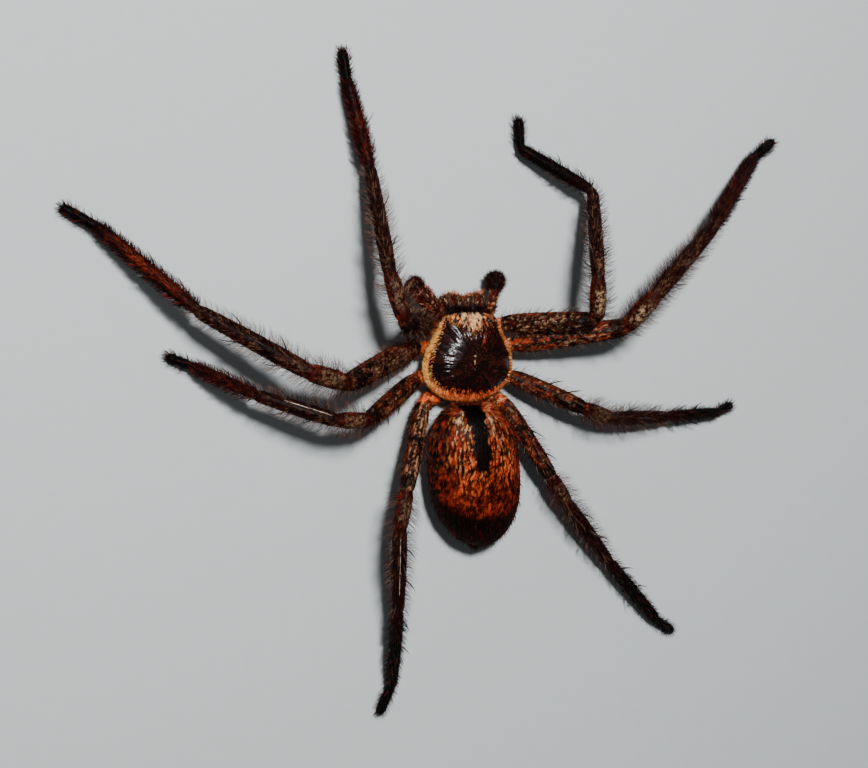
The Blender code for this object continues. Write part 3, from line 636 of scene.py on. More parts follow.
def locate_on_limbs(mesh, limbs):
    """Place, part, share, turn, lie and limb for every point of the skin."""
    body = to_body(read(mesh.vertices, "co", 3))
    count = len(body)
    line, radius, parts, shares, lies = (np.concatenate([limb[key] for limb in limbs])
                                         for key in ("line", "radius", "part", "share", "lie"))
    whose = np.concatenate([np.full(len(limb["line"]), index) for index, limb in enumerate(limbs)])
    nearest, over = np.zeros(count, int), np.zeros(count)
    for start in range(0, count, POINTS_AT_ONCE):
        rows = slice(start, start + POINTS_AT_ONCE)
        square = (body[rows] ** 2).sum(1)[:, None] + (line ** 2).sum(1)[None, :] - 2 * body[rows] @ line.T
        away = np.sqrt(np.maximum(0.0, square)) - radius[None, :]
        nearest[rows] = away.argmin(1)
        over[rows] = away.min(1)
    part, share, lie = parts[nearest], shares[nearest], lies[nearest]
    away = body - line[nearest]
    side = np.array([limb["side"] for limb in limbs])[whose[nearest]]
    level = np.where((part <= PART["tarsus"])[:, None], level_of(lie), np.outer(side, (1.0, 0.0, 0.0)))
    top = upward(np.cross(level, lie))
    turn = np.arctan2((away * level).sum(1), (away * top).sum(1))

    t = (body[:, 1] - ABDOMEN_FRONT) / ABDOMEN_LENGTH
    centre = abdomen_centre(t)
    width = np.maximum(abdomen_share(t), 0.02)
    u = (body[:, 0] - centre[:, 0]) / (ABDOMEN_HALF_WIDTH * width)
    w = (body[:, 2] - centre[:, 2]) / (ABDOMEN_HALF_HEIGHT * width)
    beyond = (np.hypot(u, w) - 1) * ABDOMEN_HALF_HEIGHT * width
    behind = np.abs(body[:, 0] - centre[:, 0]) < SPINNERET_REACH
    inside = (t > 0.0) & (t < 1.0) & (beyond < over) & (body[:, 1] > ABDOMEN_SKIN_FROM)
    inside |= (t >= 0.97) & (body[:, 2] > SPINNERET_TOP) & behind
    spinning = (t > 0.86) & (body[:, 2] < SPINNERET_TOP) & (beyond > 0.25) & behind
    part = np.where(inside, PART["abdomen"], part)
    part = np.where(spinning, PART["spinneret"], part)
    back = inside | spinning
    share = np.where(back, np.clip(t, 0, 1), share)
    turn = np.where(back, np.arctan2(u, w), turn)
    lie[back] = (0.0, 1.0, -0.1)
    thorax = (body - THORAX_CENTRE) / THORAX_HALVES
    chest = np.hypot(np.hypot(thorax[:, 0], thorax[:, 1]), thorax[:, 2])
    chest = ((chest - 1) * THORAX_HALVES[2] < over - 0.1) & ~back
    part = np.where(chest, PART["thorax"], part)
    lie[chest] = (0.0, 1.0, 0.0)
    limb = np.where(back | chest, len(limbs), whose[nearest])
    return dict(place=body, part=part, share=share, turn=turn, lie=lie, limb=limb)


# Markings: the same function paints the skin and every hair.

def paint(seeds):
    """Colour at places of the body."""
    body, part, share, turn, limb = (seeds[key] for key in ("place", "part", "share", "turn", "limb"))
    cream, straw, orange, rust, maroon, brown, olive, black = tones(*PAINTS)
    colour = np.tile(brown, (len(body), 1))

    def fill(name, made):
        here = part == PART[name]
        colour[here] = np.broadcast_to(made, colour.shape)[here]

    run, own, around = share * 12.0, limb * 7.0 + 0.5, np.abs(turn)
    cord = pattern(18, run / 3.4, turn * 8.5, own + 5.0)
    thread = pattern(12, run / 0.9, turn * 9.0, own)
    fine_thread = pattern(14, run / 0.55, turn * 11.0, own + 3.0)
    lines = pattern(13, run / 3.0, turn * 4.0, own)
    spots = pattern(15, run / 0.75, turn * 2.6, own + 1.0)
    cloud, fine, speck = grain(body / 1.3, 3), grain(body / 0.45, 5), grain(body / 0.17, 16)
    above = smooth(1.35, 0.7, around)
    edges = smooth(0.8, 1.25, around) * smooth(2.2, 1.7, around)
    under = smooth(1.8, 2.4, around)
    # Pale marks are the legs' own colour. On the first two right legs they are drawn stronger as painted
    # light, for the legs that face the lamp.
    painted_lit_legs = np.where(np.isin(limb, (RIGHT_1, RIGHT_2)), 1.0, 0.45)
    second = limb == RIGHT_2
    behind = np.isin(limb, HIND_LEGS)
    fore = np.isin(limb, BRUSHED_LEGS)
    tan = cream * 0.40 + orange * 0.30
    flakes = smooth(0.58, 0.72, speck) * smooth(0.35, 0.60, cloud)
    specks = smooth(0.50, 0.34, speck)
    fine_specks = smooth(0.48, 0.34, speck) * 0.85
    sockets = sum(np.exp(-((share - at) * 42) ** 2 - ((turn - round_to) * 4.5) ** 2)
                  for at, round_to in SPINE_PLACES["femur"])

    thigh = layered(
        olive * 0.4 + maroon * 0.5,
        (black, smooth(0.60, 0.42, cloud) * 0.6),
        (rust * 0.8, smooth(0.50, 0.68, thread) * 0.45),
        (tan, flakes * above * (0.06 + 0.44 * painted_lit_legs) * (1 - 0.6 * second - 0.4 * behind)),
        (cream * 0.8, smooth(0.72, 0.80, speck) * above * 0.45 * painted_lit_legs),
        (orange * 0.75, second * smooth(0.52, 0.62, cord) * smooth(1.8, 1.2, around) * 0.85),
        (cream * 0.7, second * smooth(0.70, 0.78, fine_thread) * above * smooth(0.2, 0.5, share) * 0.8),
        (orange * 0.8, edges * smooth(0.42, 0.56, lines) * smooth(0.35, 0.6, fine_thread) * 0.85),
        (cream * 0.5, edges * smooth(0.70, 0.80, thread) * 0.5 * painted_lit_legs),
        (orange * 0.60, behind * smooth(0.56, 0.68, cord) * above * 0.65),
        (cream * 0.5 + orange * 0.4, (limb == LEFT_4) * smooth(0.54, 0.64, cord) * above * 0.8),
        (black, specks * 0.85),
        (black, smooth(0.33, 0.25, spots) * 0.95),
        (black, np.clip(sockets * 1.5, 0, 1)),
        (black, smooth(0.82, 0.86, share) * smooth(0.99, 0.95, share) * 0.9),
        (orange * 0.5, smooth(0.975, 0.995, share) * smooth(0.4, 0.6, fine) * 0.7),
        (maroon, under * 0.8))
    fill("femur", thigh * np.where(limb > RIGHT_2, 1.25, 1.0)[:, None])

    # The patella's pale patch is its own colour. Its extra strength on the first two right legs is painted
    # light.
    pale = smooth(0.12, 0.35, share) * smooth(0.95, 0.7, share) * smooth(1.2, 0.6, around) * painted_lit_legs
    fill("patella", layered(
        maroon * 0.6,
        (rust * 0.8, smooth(0.45, 0.7, thread) * 0.45),
        (cream * 0.7, pale ** 1.5 * smooth(0.50, 0.62, speck) * 0.9),
        (black, fine_specks),
        (orange * 0.6, edges * smooth(0.5, 0.65, thread) * 0.7)))

    bands = np.exp(-((share - 0.10) / 0.08) ** 2) + 0.5 * np.exp(-((share - 0.52) / 0.06) ** 2)
    fill("tibia", 0.82 * layered(
        maroon * 0.45,
        (black, smooth(0.40, 0.62, cloud) * 0.8),
        (rust * 0.4, smooth(0.52, 0.72, thread) * 0.45),
        (orange * 0.5, smooth(0.62, 0.74, fine_thread) * smooth(0.45, 0.6, lines) * (0.2 + 0.5 * edges)),
        (tan, smooth(0.70, 0.82, speck) * above * (0.45 - 0.35 * behind) * painted_lit_legs),
        (tan, bands * smooth(0.56, 0.70, speck) * above * 0.35 * painted_lit_legs),
        (black, fine_specks)))

    middle = smooth(0.1, 0.4, share) * smooth(0.95, 0.8, share)
    fill("metatarsus", layered(
        maroon * 0.45,
        (black, smooth(0.55, 0.35, speck) * 0.8),
        (rust, smooth(0.5, 0.72, thread) * 0.35 * fore),
        (orange * 0.55, middle * smooth(0.4, 0.6, fine_thread) * smooth(0.9, 0.4, around) * 0.6
         * (limb == LEFT_2)),
        (black, np.where(fore, smooth(0.55, 0.95, share) * 0.7, smooth(0.1, 0.5, share) * 0.95))))
    fill("tarsus", black)

    right = limb > LEFT_4
    fill("coxa", 1.3 * layered(
        rust,
        (orange * 1.3, smooth(0.30, 0.55, cloud)),
        (straw, smooth(0.45, 0.65, speck) * (0.45 + 0.35 * right)),
        (cream, smooth(0.60, 0.75, speck) * right * 0.7),
        (black, smooth(0.42, 0.32, grain(body / 0.35, 17)) * 0.85),
        (brown, under * 0.7)))
    fill("palp", 1.3 * layered(
        maroon * 0.9,
        (rust, smooth(0.5, 0.75, fine) * 0.6),
        (black, specks * 0.8),
        (tan * 1.2, smooth(0.72, 0.84, speck) * 0.7)))
    fill("palp_tip", mix(black * 1.5, maroon, smooth(0.5, 0.75, fine) * 0.6))
    # The jaws' root end, up to about seven tenths of their length, is painted black: a painted shadow under
    # the front edge of the shield. Their hairs take the same black.
    fill("jaw", 1.2 * layered(
        brown * 1.1,
        (rust * 0.8, smooth(0.5, 0.7, fine) * 0.6),
        (black, smooth(0.52, 0.36, speck) * 0.9),
        (cream * 0.55, smooth(0.66, 0.80, speck) * 0.7),
        (orange, np.exp(-(body[:, 0] / 0.35) ** 2) * smooth(0.75, 0.9, share) * 0.7),
        (black, smooth(0.74, 0.64, share))))
    fill("thorax", mix(brown, rust, cloud * 0.5))
    fill("spinneret", brown * 0.6)
    fill("abdomen", paint_abdomen(body, share, turn) * 1.12)
    return np.clip(colour, 0.0, 1.0)


def paint_abdomen(body, t, turn):
    """Orange ground with dark wavy lines, a black stripe, dark flanks and a black rear."""
    cream, straw, orange, rust, maroon, _, olive, black = tones(*PAINTS)
    x = body[:, 0] - abdomen_centre(t)[:, 0]
    u = x / (ABDOMEN_HALF_WIDTH * np.maximum(abdomen_share(t), 0.05))
    # lit is the spider's left side. There the pale straw and cream streaks between the dark lines (glint) are
    # drawn stronger, and that extra strength is painted light for the side that faces the lamp.
    around, lit = np.abs(turn), x > 1.5
    cloud, fine, middle = grain(body / 1.9, 21), grain(body / 0.42, 22), grain(body / 0.9, 23)
    across, along = u * ABDOMEN_HALF_WIDTH, body[:, 1]
    bend = pattern(26, across / 1.5, along / 2.0) - 0.5
    wriggle = pattern(28, across / 0.6, along / 0.8) - 0.5
    phase = (across * 1.1 + 1.3 * bend + 0.35 * wriggle + 0.2 * np.sin(along * 1.7)) / 0.66
    row = np.floor(phase)
    beside = np.abs(phase - row - 0.5)
    dash = pattern(24, row * 3.7, along / 1.1)
    fade = smooth(0.02, 0.08, t) * smooth(0.72, 0.50, t)
    lines = smooth(0.36, 0.26, beside) * smooth(0.33, 0.44, dash) * (0.35 + 0.65 * fade)
    glint = smooth(0.26, 0.38, beside) * smooth(0.40, 0.55, grain(body / 0.5, 27))
    spots = np.exp(-(((np.abs(x - 0.9) - 2.5) / 0.6) ** 2 + ((t - 0.10) / 0.06) ** 2))
    dim = 0.11 * smooth(0.36, 0.56, t)
    flank = smooth(0.60, 0.84, np.abs(u) + 0.30 * (middle - 0.5)) + smooth(1.2, 1.55, around)
    dusk = mix(black * 1.3, rust * 1.2, smooth(0.5, 0.75, fine * 0.6 + middle * 0.4))
    rear = t + 0.05 * (cloud - 0.5) + 0.03 * (fine - 0.5) + 0.10 * np.abs(u) ** 2
    down = np.clip(t / STRIPE_END, 0, 1)
    half = np.interp(down, (0.0, 0.25, 0.45, 0.8, 1.0), (1.75, 1.6, 1.2, 1.35, 1.2)) + 0.9 * (fine - 0.5)
    offset = x - np.interp(down, (0.0, 0.2, 0.5, 1.0), (0.85, 0.8, 0.62, 0.55))
    stripe = smooth(half, half - 0.2, np.abs(offset)) * (around < 1.5)
    stripe = stripe * smooth(STRIPE_END + 0.015, STRIPE_END - 0.01, t + 0.02 * (fine - 0.5))
    return layered(
        rust,
        (orange, smooth(0.36, 0.62, cloud * 0.45 + middle * 0.55)),
        (straw * 0.9, glint * smooth(0.70, 0.36, t) * (0.36 + 0.26 * lit)),
        (cream, glint * smooth(0.50, 0.15, t) * smooth(0.40, 0.60, middle) * (0.45 + 0.35 * lit)),
        (rust, smooth(0.38, 0.60, t) * smooth(0.62, 0.40, middle) * 0.75),
        (black, lines * 0.95),
        (cream, spots * smooth(0.42, 0.62, fine) * 0.6),
        (black, smooth(0.46 + dim, 0.35 + dim, grain(body / 0.34, 25)) * 0.9),
        (dusk, np.clip(flank, 0, 1) * 0.92),
        (mix(maroon, olive, cloud), smooth(1.9, 2.3, around) * 0.8),
        (black * 1.3 + maroon * 0.10 * smooth(0.5, 0.8, fine)[:, None], smooth(0.69, 0.78, rear)),
        (black, stripe))


# Hairs: many thin, bent, three-sided tapers joined in one mesh.

def hair_faces(levels):
    """Corner numbers of one hair's triangles, for so many three-cornered levels under its tip."""
    faces = [(2, 1, 0)]
    for low in range(0, (levels - 1) * 3, 3):
        high = low + 3
        for corner in range(3):
            after = (corner + 1) % 3
            faces.append((low + corner, low + after, high + after))
            faces.append((low + corner, high + after, high + corner))
    last = (levels - 1) * 3
    faces += [(last + corner, last + (corner + 1) % 3, last + 3) for corner in range(3)]
    return np.array(faces)


def plant(name, material, slot, roots, out, lie, length, width, rise, curl, colour, patch,
          levels=FINE_LEVELS, thin=0.45, glow=1.35):
    """Joined hairs. rise is the angle from the lie at the root; curl bends them towards it."""
    count, per = len(roots), len(levels) * 3 + 1
    out = unit(out)
    flat = unit(lie - out * (lie * out).sum(1, keepdims=True))
    start = flat * np.cos(rise)[:, None] + out * np.sin(rise)[:, None]
    bend = (flat * 0.8 - out * 0.6) * curl[:, None]
    side = unit(np.cross(flat, out))
    sunk = ROOT_DEPTH * np.minimum(1.0, length)
    base = roots - out * sunk[:, None]
    verts = np.zeros((count, per, 3))
    tint = np.ones((count, per, 4))
    # Each hair is painted darker at its root and lighter towards its tip (glow): painted shade and painted
    # highlight.
    for index, s in enumerate((*levels, 1.0)):
        centre = base + (start * s + bend * s * s) * (length + sunk)[:, None]
        ridge = unit(np.cross(side, unit(start + bend * 2 * s)))
        half = (width * (1 - 0.75 * s ** 1.6) / 2)[:, None]
        corners = (side * half, -side * half, ridge * half * 2 * thin) if s < 1.0 else (0.0,)
        for corner, offset in enumerate(corners):
            verts[:, index * 3 + corner] = centre + offset
            tint[:, index * 3 + corner, :3] = colour * (ROOT_SHADE + (glow - ROOT_SHADE) * s)
    world = to_world(verts.reshape(-1, 3))
    world[:, 2] = np.maximum(world[:, 2], LOWEST_HAIR * MM)
    corners = (hair_faces(len(levels))[None] + (np.arange(count) * per)[:, None, None]).reshape(-1)
    mesh = bpy.data.meshes.new(name)
    mesh.vertices.add(len(world))
    mesh.vertices.foreach_set("co", world.reshape(-1))
    mesh.loops.add(len(corners))
    mesh.loops.foreach_set("vertex_index", corners)
    mesh.polygons.add(len(corners) // 3)
    mesh.polygons.foreach_set("loop_start", np.arange(0, len(corners), 3))
    mesh.polygons.foreach_set("loop_total", np.full(len(corners) // 3, 3))
    mesh.update()
    mesh.validate()
    store(mesh, "tint", "FLOAT_COLOR", "color", np.clip(tint, 0, 1))
    spread = np.array([((i % 3) / 2, i // 3 / len(levels)) for i in range(per)])
    spots = patch[:, None, :] + spread[None] * 0.003
    unwrap = mesh.uv_layers.new(name="OFBake")
    unwrap.uv.foreach_set("vector", spots.reshape(-1, 2)[corners].reshape(-1))
    settle(link_object(name, mesh), material, slot)


class Coat:
    """The skin as a ground that hairs can be sown on."""

    def __init__(self):
        mesh = bpy.data.objects["spider_skin"].data
        mesh.calc_loop_triangles()
        self.normal = read(mesh.vertices, "normal", 3)
        tris = np.zeros(len(mesh.loop_triangles) * 3, int)
        mesh.loop_triangles.foreach_get("vertices", tris)
        self.tris = tris.reshape(-1, 3)
        for name in ("part", "share", "turn", "limb"):
            values = np.zeros(len(mesh.vertices), np.float32 if name in ("share", "turn") else np.int32)
            mesh.attributes[name].data.foreach_get("value", values)
            setattr(self, name, values)
        self.lie = read(mesh.attributes["lie"].data, "vector", 3)
        self.body = to_body(read(mesh.vertices, "co", 3))
        a, b, c = (self.body[self.tris[:, i]] for i in range(3))
        self.area = np.linalg.norm(np.cross(b - a, c - a), axis=1) / 2

    def sow(self, density, dice):
        """Roots at so many a square millimetre, with all that is known of their place."""
        expected = self.area * density[self.tris].mean(1)
        number = np.floor(expected + dice.random(len(expected))).astype(int)
        chosen = np.repeat(np.arange(len(self.tris)), number)
        mixes = dice.dirichlet((1.0, 1.0, 1.0), len(chosen))
        corners = self.tris[chosen]
        nearest = corners[np.arange(len(chosen)), mixes.argmax(1)]
        place = (self.body[corners] * mixes[:, :, None]).sum(1)
        normal = unit((self.normal[corners] * mixes[:, :, None]).sum(1))
        seeds = dict(place=place, normal=normal)
        for name in ("lie", "part", "share", "turn", "limb"):
            seeds[name] = getattr(self, name)[nearest]
        return seeds

    def beds(self, beds, dice, thinning):
        """Roots of each bed in groups, each with its bed, name and count and the skin's colour there."""
        for bed in beds:
            here = np.isin(self.part, [PART[name] for name in bed.parts])
            density = np.where(here, bed.density, 0.0) * (thinning(self) if "abdomen" in bed.parts else 1.0)
            for number, seeds in enumerate(parted(self.sow(density, dice))):
                yield bed, f"{bed.name}_{number + 1}", seeds, len(seeds["place"]), paint(seeds)


def fewer_below(coat):
    """Share of the short hairs over the abdomen."""
    return smooth(2.4, 1.5, np.abs(coat.turn)) * 0.5 + 0.5


def more_behind(coat):
    """Share of the long hairs over the abdomen."""
    return 0.35 + 0.9 * smooth(0.5, 0.8, coat.share)


def parted(seeds):
    """The same roots in as few groups as keep each piece of coat light enough."""
    pieces = 1 + int(len(seeds["place"]) * HAIR_FACES / PIECE_FACES)
    flank = (np.abs(seeds["turn"]) > 0.9).astype(int)
    key = np.where(seeds["part"] == PART["abdomen"], flank, seeds["limb"]) % pieces
    return [{name: rows[key == piece] for name, rows in seeds.items()} for piece in range(pieces)]


def patch_of(seeds):
    """Place of each root on an unwrap of the skin: one tile for each part of each limb."""
    tile = seeds["limb"] * 8 + np.clip(seeds["part"], 0, 7)
    column, row = tile % TILES, (tile // TILES) % TILES
    u = (column + 0.06 + 0.84 * (seeds["turn"] / math.tau + 0.5)) / TILES
    v = (row + 0.06 + 0.84 * np.clip(seeds["share"], 0, 1)) / TILES
    return np.stack([u, v], axis=1)


def shield_tile(left, low, u, v):
    """Places in a small tile of the shield hairs' unwrap, from shares across and up."""
    return np.stack([left + 0.1 * u, low + 0.1 * v], axis=1)


def random_rise(dice, count, low, high):
    """Angles between two limits in degrees."""
    return np.radians(dice.uniform(low, high, count))


def scatter_lie(seeds, dice, angle):
    """Turn every lie a little at random within the surface."""
    normal = seeds["normal"]
    flat = unit(seeds["lie"] - normal * (seeds["lie"] * normal).sum(1, keepdims=True))
    side = np.cross(normal, flat)
    turn = np.radians(dice.normal(0.0, angle, len(flat)))[:, None]
    return flat * np.cos(turn) + side * np.sin(turn)


# Materials.

def node(tree, kind, values=None, **settings):
    """A new node with its settings and the values of its unlinked inputs."""
    made = tree.nodes.new(kind)
    for name, value in settings.items():
        setattr(made, name, value)
    set_inputs(made, values or {})
    return made


def set_inputs(made, values):
    for name, value in values.items():
        made.inputs[name].default_value = value


def link(tree, *pairs):
    """Link each output to its input."""
    for output, target in pairs:
        tree.links.new(output, target)


def new_material(name, values):
    """A material with its node tree and its main shader, whose plain inputs are set."""
    material = bpy.data.materials.new(name)
    material.use_nodes = True
    shader = material.node_tree.nodes["Principled BSDF"]
    set_inputs(shader, values)
    return material, material.node_tree, shader


def object_noise(tree, detail, scale=1.0):
    """Noise on the object's own coordinates."""
    noise = node(tree, "ShaderNodeTexNoise", {"Scale": scale, "Detail": detail})
    link(tree, (node(tree, "ShaderNodeTexCoord").outputs["Object"], noise.inputs["Vector"]))
    return noise


def add_relief(tree, shader, height, strength, distance):
    """Relief on the shader from a height."""
    relief = node(tree, "ShaderNodeBump", {"Strength": strength, "Distance": distance})
    link(tree, (height, relief.inputs["Height"]), (relief.outputs["Normal"], shader.inputs["Normal"]))


def variation_group():
    """Fine variation over a painted colour: a lighter and darker grain and its height."""
    found = bpy.data.node_groups.get("Fine Grain")
    if found:
        return found
    group = bpy.data.node_groups.new("Fine Grain", "ShaderNodeTree")
    for name, way, kind in (("Colour", "INPUT", "Color"), ("Scale", "INPUT", "Float"),
                            ("Strength", "INPUT", "Float"), ("Colour", "OUTPUT", "Color"),
                            ("Height", "OUTPUT", "Float")):
        group.interface.new_socket(name, in_out=way, socket_type="NodeSocket" + kind)
    enter, leave = node(group, "NodeGroupInput"), node(group, "NodeGroupOutput")
    noise = object_noise(group, 4.0)
    limits = {"From Min": 0.3, "From Max": 0.7, "To Min": -1.0, "To Max": 1.0}
    ramp = node(group, "ShaderNodeMapRange", limits)
    scaled = node(group, "ShaderNodeMath", {2: 1.0}, operation="MULTIPLY_ADD")
    times = node(group, "ShaderNodeVectorMath", operation="SCALE")
    link(group,
         (enter.outputs["Scale"], noise.inputs["Scale"]),
         (noise.outputs["Fac"], ramp.inputs["Value"]),
         (ramp.outputs["Result"], scaled.inputs[0]),
         (enter.outputs["Strength"], scaled.inputs[1]),
         (enter.outputs["Colour"], times.inputs["Vector"]),
         (scaled.outputs["Value"], times.inputs["Scale"]),
         (times.outputs["Vector"], leave.inputs["Colour"]),
         (noise.outputs["Fac"], leave.inputs["Height"]))
    return group


def painted_material(name, roughness, specular, scale, strength, bump=0.0, distance=0.05 * MM):
    """A finish that shows the painted colours with a fine grain and relief."""
    material, tree, shader = new_material(name, {"Roughness": roughness, "Specular IOR Level": specular})
    painted = node(tree, "ShaderNodeAttribute", attribute_name="tint", attribute_type="GEOMETRY")
    grainy = node(tree, "ShaderNodeGroup", node_tree=variation_group())
    set_inputs(grainy, {"Scale": scale, "Strength": strength})
    link(tree, (painted.outputs["Color"], grainy.inputs["Colour"]),
         (grainy.outputs["Colour"], shader.inputs["Base Color"]))
    if bump:
        add_relief(tree, shader, grainy.outputs["Height"], bump, distance)
    return material


def plain_gloss(name, colour, roughness, scale, bump=0.0, coat=0.5):
    """A dark polished finish with a trace of uneven gloss."""
    material, tree, shader = new_material(name, {"Coat Weight": coat, "Coat Roughness": 0.04})
    noise = object_noise(tree, 2.0, scale)
    ramp = node(tree, "ShaderNodeMapRange", {"To Min": roughness * 0.7, "To Max": roughness * 1.4})
    blend = blended_noise(tree, noise, colour, [min(1.0, c * 1.8) for c in colour])
    link(tree, (noise.outputs["Fac"], ramp.inputs["Value"]),
         (ramp.outputs["Result"], shader.inputs["Roughness"]), (blend, shader.inputs["Base Color"]))
    add_relief(tree, shader, noise.outputs["Fac"], bump, 0.03 * MM)
    return material


def blended_noise(tree, noise, dark, pale):
    """A colour that goes from dark to pale with the noise."""
    blend = node(tree, "ShaderNodeMix", {"A": (*dark, 1.0), "B": (*pale, 1.0)}, data_type="RGBA")
    link(tree, (noise.outputs["Fac"], blend.inputs["Factor"]))
    return blend.outputs["Result"]


def floor_material():
    """Plain pale card with a faint grain."""
    material, tree, shader = new_material("Pale Card", {"Roughness": 0.8, "Specular IOR Level": 0.2})
    colour = tones("floor")[0]
    blend = blended_noise(tree, object_noise(tree, 6.0, 400.0), colour * 0.97, colour * 1.03)
    link(tree, (blend, shader.inputs["Base Color"]))
    return material


def coat_material():
    """The dull finish of the short hairs."""
    return bpy.data.materials.get("Spider Pile") or painted_material("Spider Pile", 0.8, 0.0, 3500.0, 0.3)


def hair_material():
    """The finer, glossier finish of the long hairs."""
    return bpy.data.materials.get("Spider Hair") or painted_material("Spider Hair", 0.35, 0.12, 3500.0, 0.3)


# The shield.

def carapace_half_width(y):
    """Half width of the shield: a round rear part and a narrower, blunt head."""
    rear = np.clip((y - CARAPACE_WIDEST_Y) / (CARAPACE_REAR - CARAPACE_WIDEST_Y), 0, 1)
    head = np.clip((CARAPACE_WIDEST_Y - y) / (CARAPACE_WIDEST_Y - CARAPACE_FRONT), 0, 1)
    behind = CARAPACE_HALF_WIDTH * (1 - rear ** 2.3) ** 0.5
    ahead = HEAD_HALF_WIDTH + (CARAPACE_HALF_WIDTH - HEAD_HALF_WIDTH) * (np.cos(np.pi * head) + 1) / 2
    return np.where(y > CARAPACE_WIDEST_Y, behind, ahead * (1 - head ** HEAD_SQUARENESS) ** 0.5)


def rim_radius(angle):
    """Distance from the shield's centre to its rim, for angles from straight ahead."""
    front = CARAPACE_FRONT
    y = (front + CARAPACE_REAR) / 2 - (CARAPACE_REAR - front) / 2 * np.cos(np.linspace(0, np.pi, 721))
    x = carapace_half_width(y)
    spans = np.arctan2(x, -(y - CARAPACE_CENTRE_Y))
    return np.interp(np.abs(angle), spans, np.hypot(x, y - CARAPACE_CENTRE_Y))


def eye_places():
    """Centre and radius of each eye, in body millimetres."""
    found = []
    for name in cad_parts:
        if name.startswith("eye_"):
            low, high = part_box(name)
            centre = to_body(np.array((low + high) / 2))
            found.append((Vector(centre.tolist()), (high.x - low.x) / 2 / MM))
    return found


def shield_relief(x, y, reach):
    """Height of the shield with its head region, grooves, middle pit and eye mounds."""
    frontness = np.clip(-y / -CARAPACE_FRONT, 0, 1)
    rim = RIM_HEIGHT + RIM_THICKNESS + BROW_RISE * frontness ** 2
    dome = np.clip(1 - reach ** 2.6, 0, 1) ** 0.8
    angle = np.arctan2(np.abs(x), -(y - CARAPACE_CENTRE_Y))
    plan = np.stack([x, y, x * 0 + 0.5], axis=1)
    wander = 0.10 * (grain(plan / 1.6, 51) - 0.5)
    groove = sum(np.exp(-((angle + wander - at) / 0.05) ** 2) for at in GROOVE_ANGLES)
    groove = groove * (0.3 + 0.9 * grain(plan / 1.1, 52))
    rays = pattern(53, (angle + wander) * 26.0, reach * 2.6, np.sign(x)) - 0.5
    wrinkle = pattern(55, (angle + 2 * wander) * 40.0, reach * 7.0, np.sign(x)) - 0.5
    fade = smooth(0.34, 0.58, reach) * smooth(0.93, 0.78, reach)
    neck = np.exp(-((angle - 0.60 - 0.25 * reach) / 0.10) ** 2) * smooth(0.45, 0.7, reach)
    neck = neck * smooth(0.98, 0.8, reach)
    pit = np.exp(-(x / 0.14) ** 2) * smooth(FOVEA_Y[0] - 0.5, FOVEA_Y[0], y)
    pit = pit * smooth(FOVEA_Y[1] + 0.6, FOVEA_Y[1], y)
    crown = CARAPACE_TOP - HEAD_DROP * frontness ** 2
    height = rim + (crown - rim) * dome - 0.10 * groove * fade - 0.14 * neck - 0.14 * pit
    height += (0.06 * rays + 0.10 * wrinkle) * fade + 0.05 * (grain(plan / 0.7, 54) - 0.5)
    for place, radius in eye_places():
        height += 0.14 * np.exp(-(np.hypot(x - place.x, y - place.y) / (radius * 1.5)) ** 2)
    return height


def paint_shield(x, y, reach):
    """Near black with red-brown rays, and a pale hairy band along the rim."""
    straw, rust, maroon, black = tones("straw", "rust", "maroon", "black")
    plan = np.stack([x, y, x * 0 + 0.5], axis=1)
    angle = np.arctan2(x, -(y - CARAPACE_CENTRE_Y))
    rays = pattern(31, angle * 9.0, reach * 2.0)
    cloud, speck = grain(plan / 1.2, 32), grain(plan / 0.15, 33)
    red = np.exp(-((x + 1.5 + 0.12 * (y + 5)) / 0.5) ** 2) * smooth(-7.0, -6.2, y) * smooth(-1.8, -3.6, y)
    wide = 0.02 + 0.06 * smooth(1.9, 2.8, np.abs(angle)) + 0.02 * smooth(0.3, 1.2, angle)
    rim = smooth(1 - wide, 1 - wide * 0.6, reach + 0.03 * (cloud - 0.5)) * smooth(0.40, 0.62, np.abs(angle))
    return layered(
        black,
        (maroon, smooth(0.55, 0.8, rays) * 0.35),
        (maroon * 1.2, smooth(0.55, 0.75, speck) * smooth(0.4, 0.6, cloud) * 0.7),
        (rust, red * smooth(0.4, 0.65, speck * 0.5 + rays * 0.5) * 0.9),
        (mix(straw * 0.35, rust, smooth(-1.0, 3.5, y)), rim))


def shield_points(angle, reach):
    """Places on the shield's upper face for angles from straight ahead and shares of the way out."""
    radius = rim_radius(angle) * reach
    x, y = radius * np.sin(angle), CARAPACE_CENTRE_Y - radius * np.cos(angle)
    return np.stack([x, y, shield_relief(x, y, reach)], axis=1)


def shield_ground(angle, reach):
    """Places on the shield, each with its outward, sideways and upward direction."""
    place = shield_points(angle, reach)
    outward = unit(place - shield_points(angle, reach - 0.02))
    tangent = unit(shield_points(angle + 0.01, reach) - place)
    return place, outward, tangent, upward(np.cross(tangent, outward))


# Hairs of the shield, the face and the jaws.

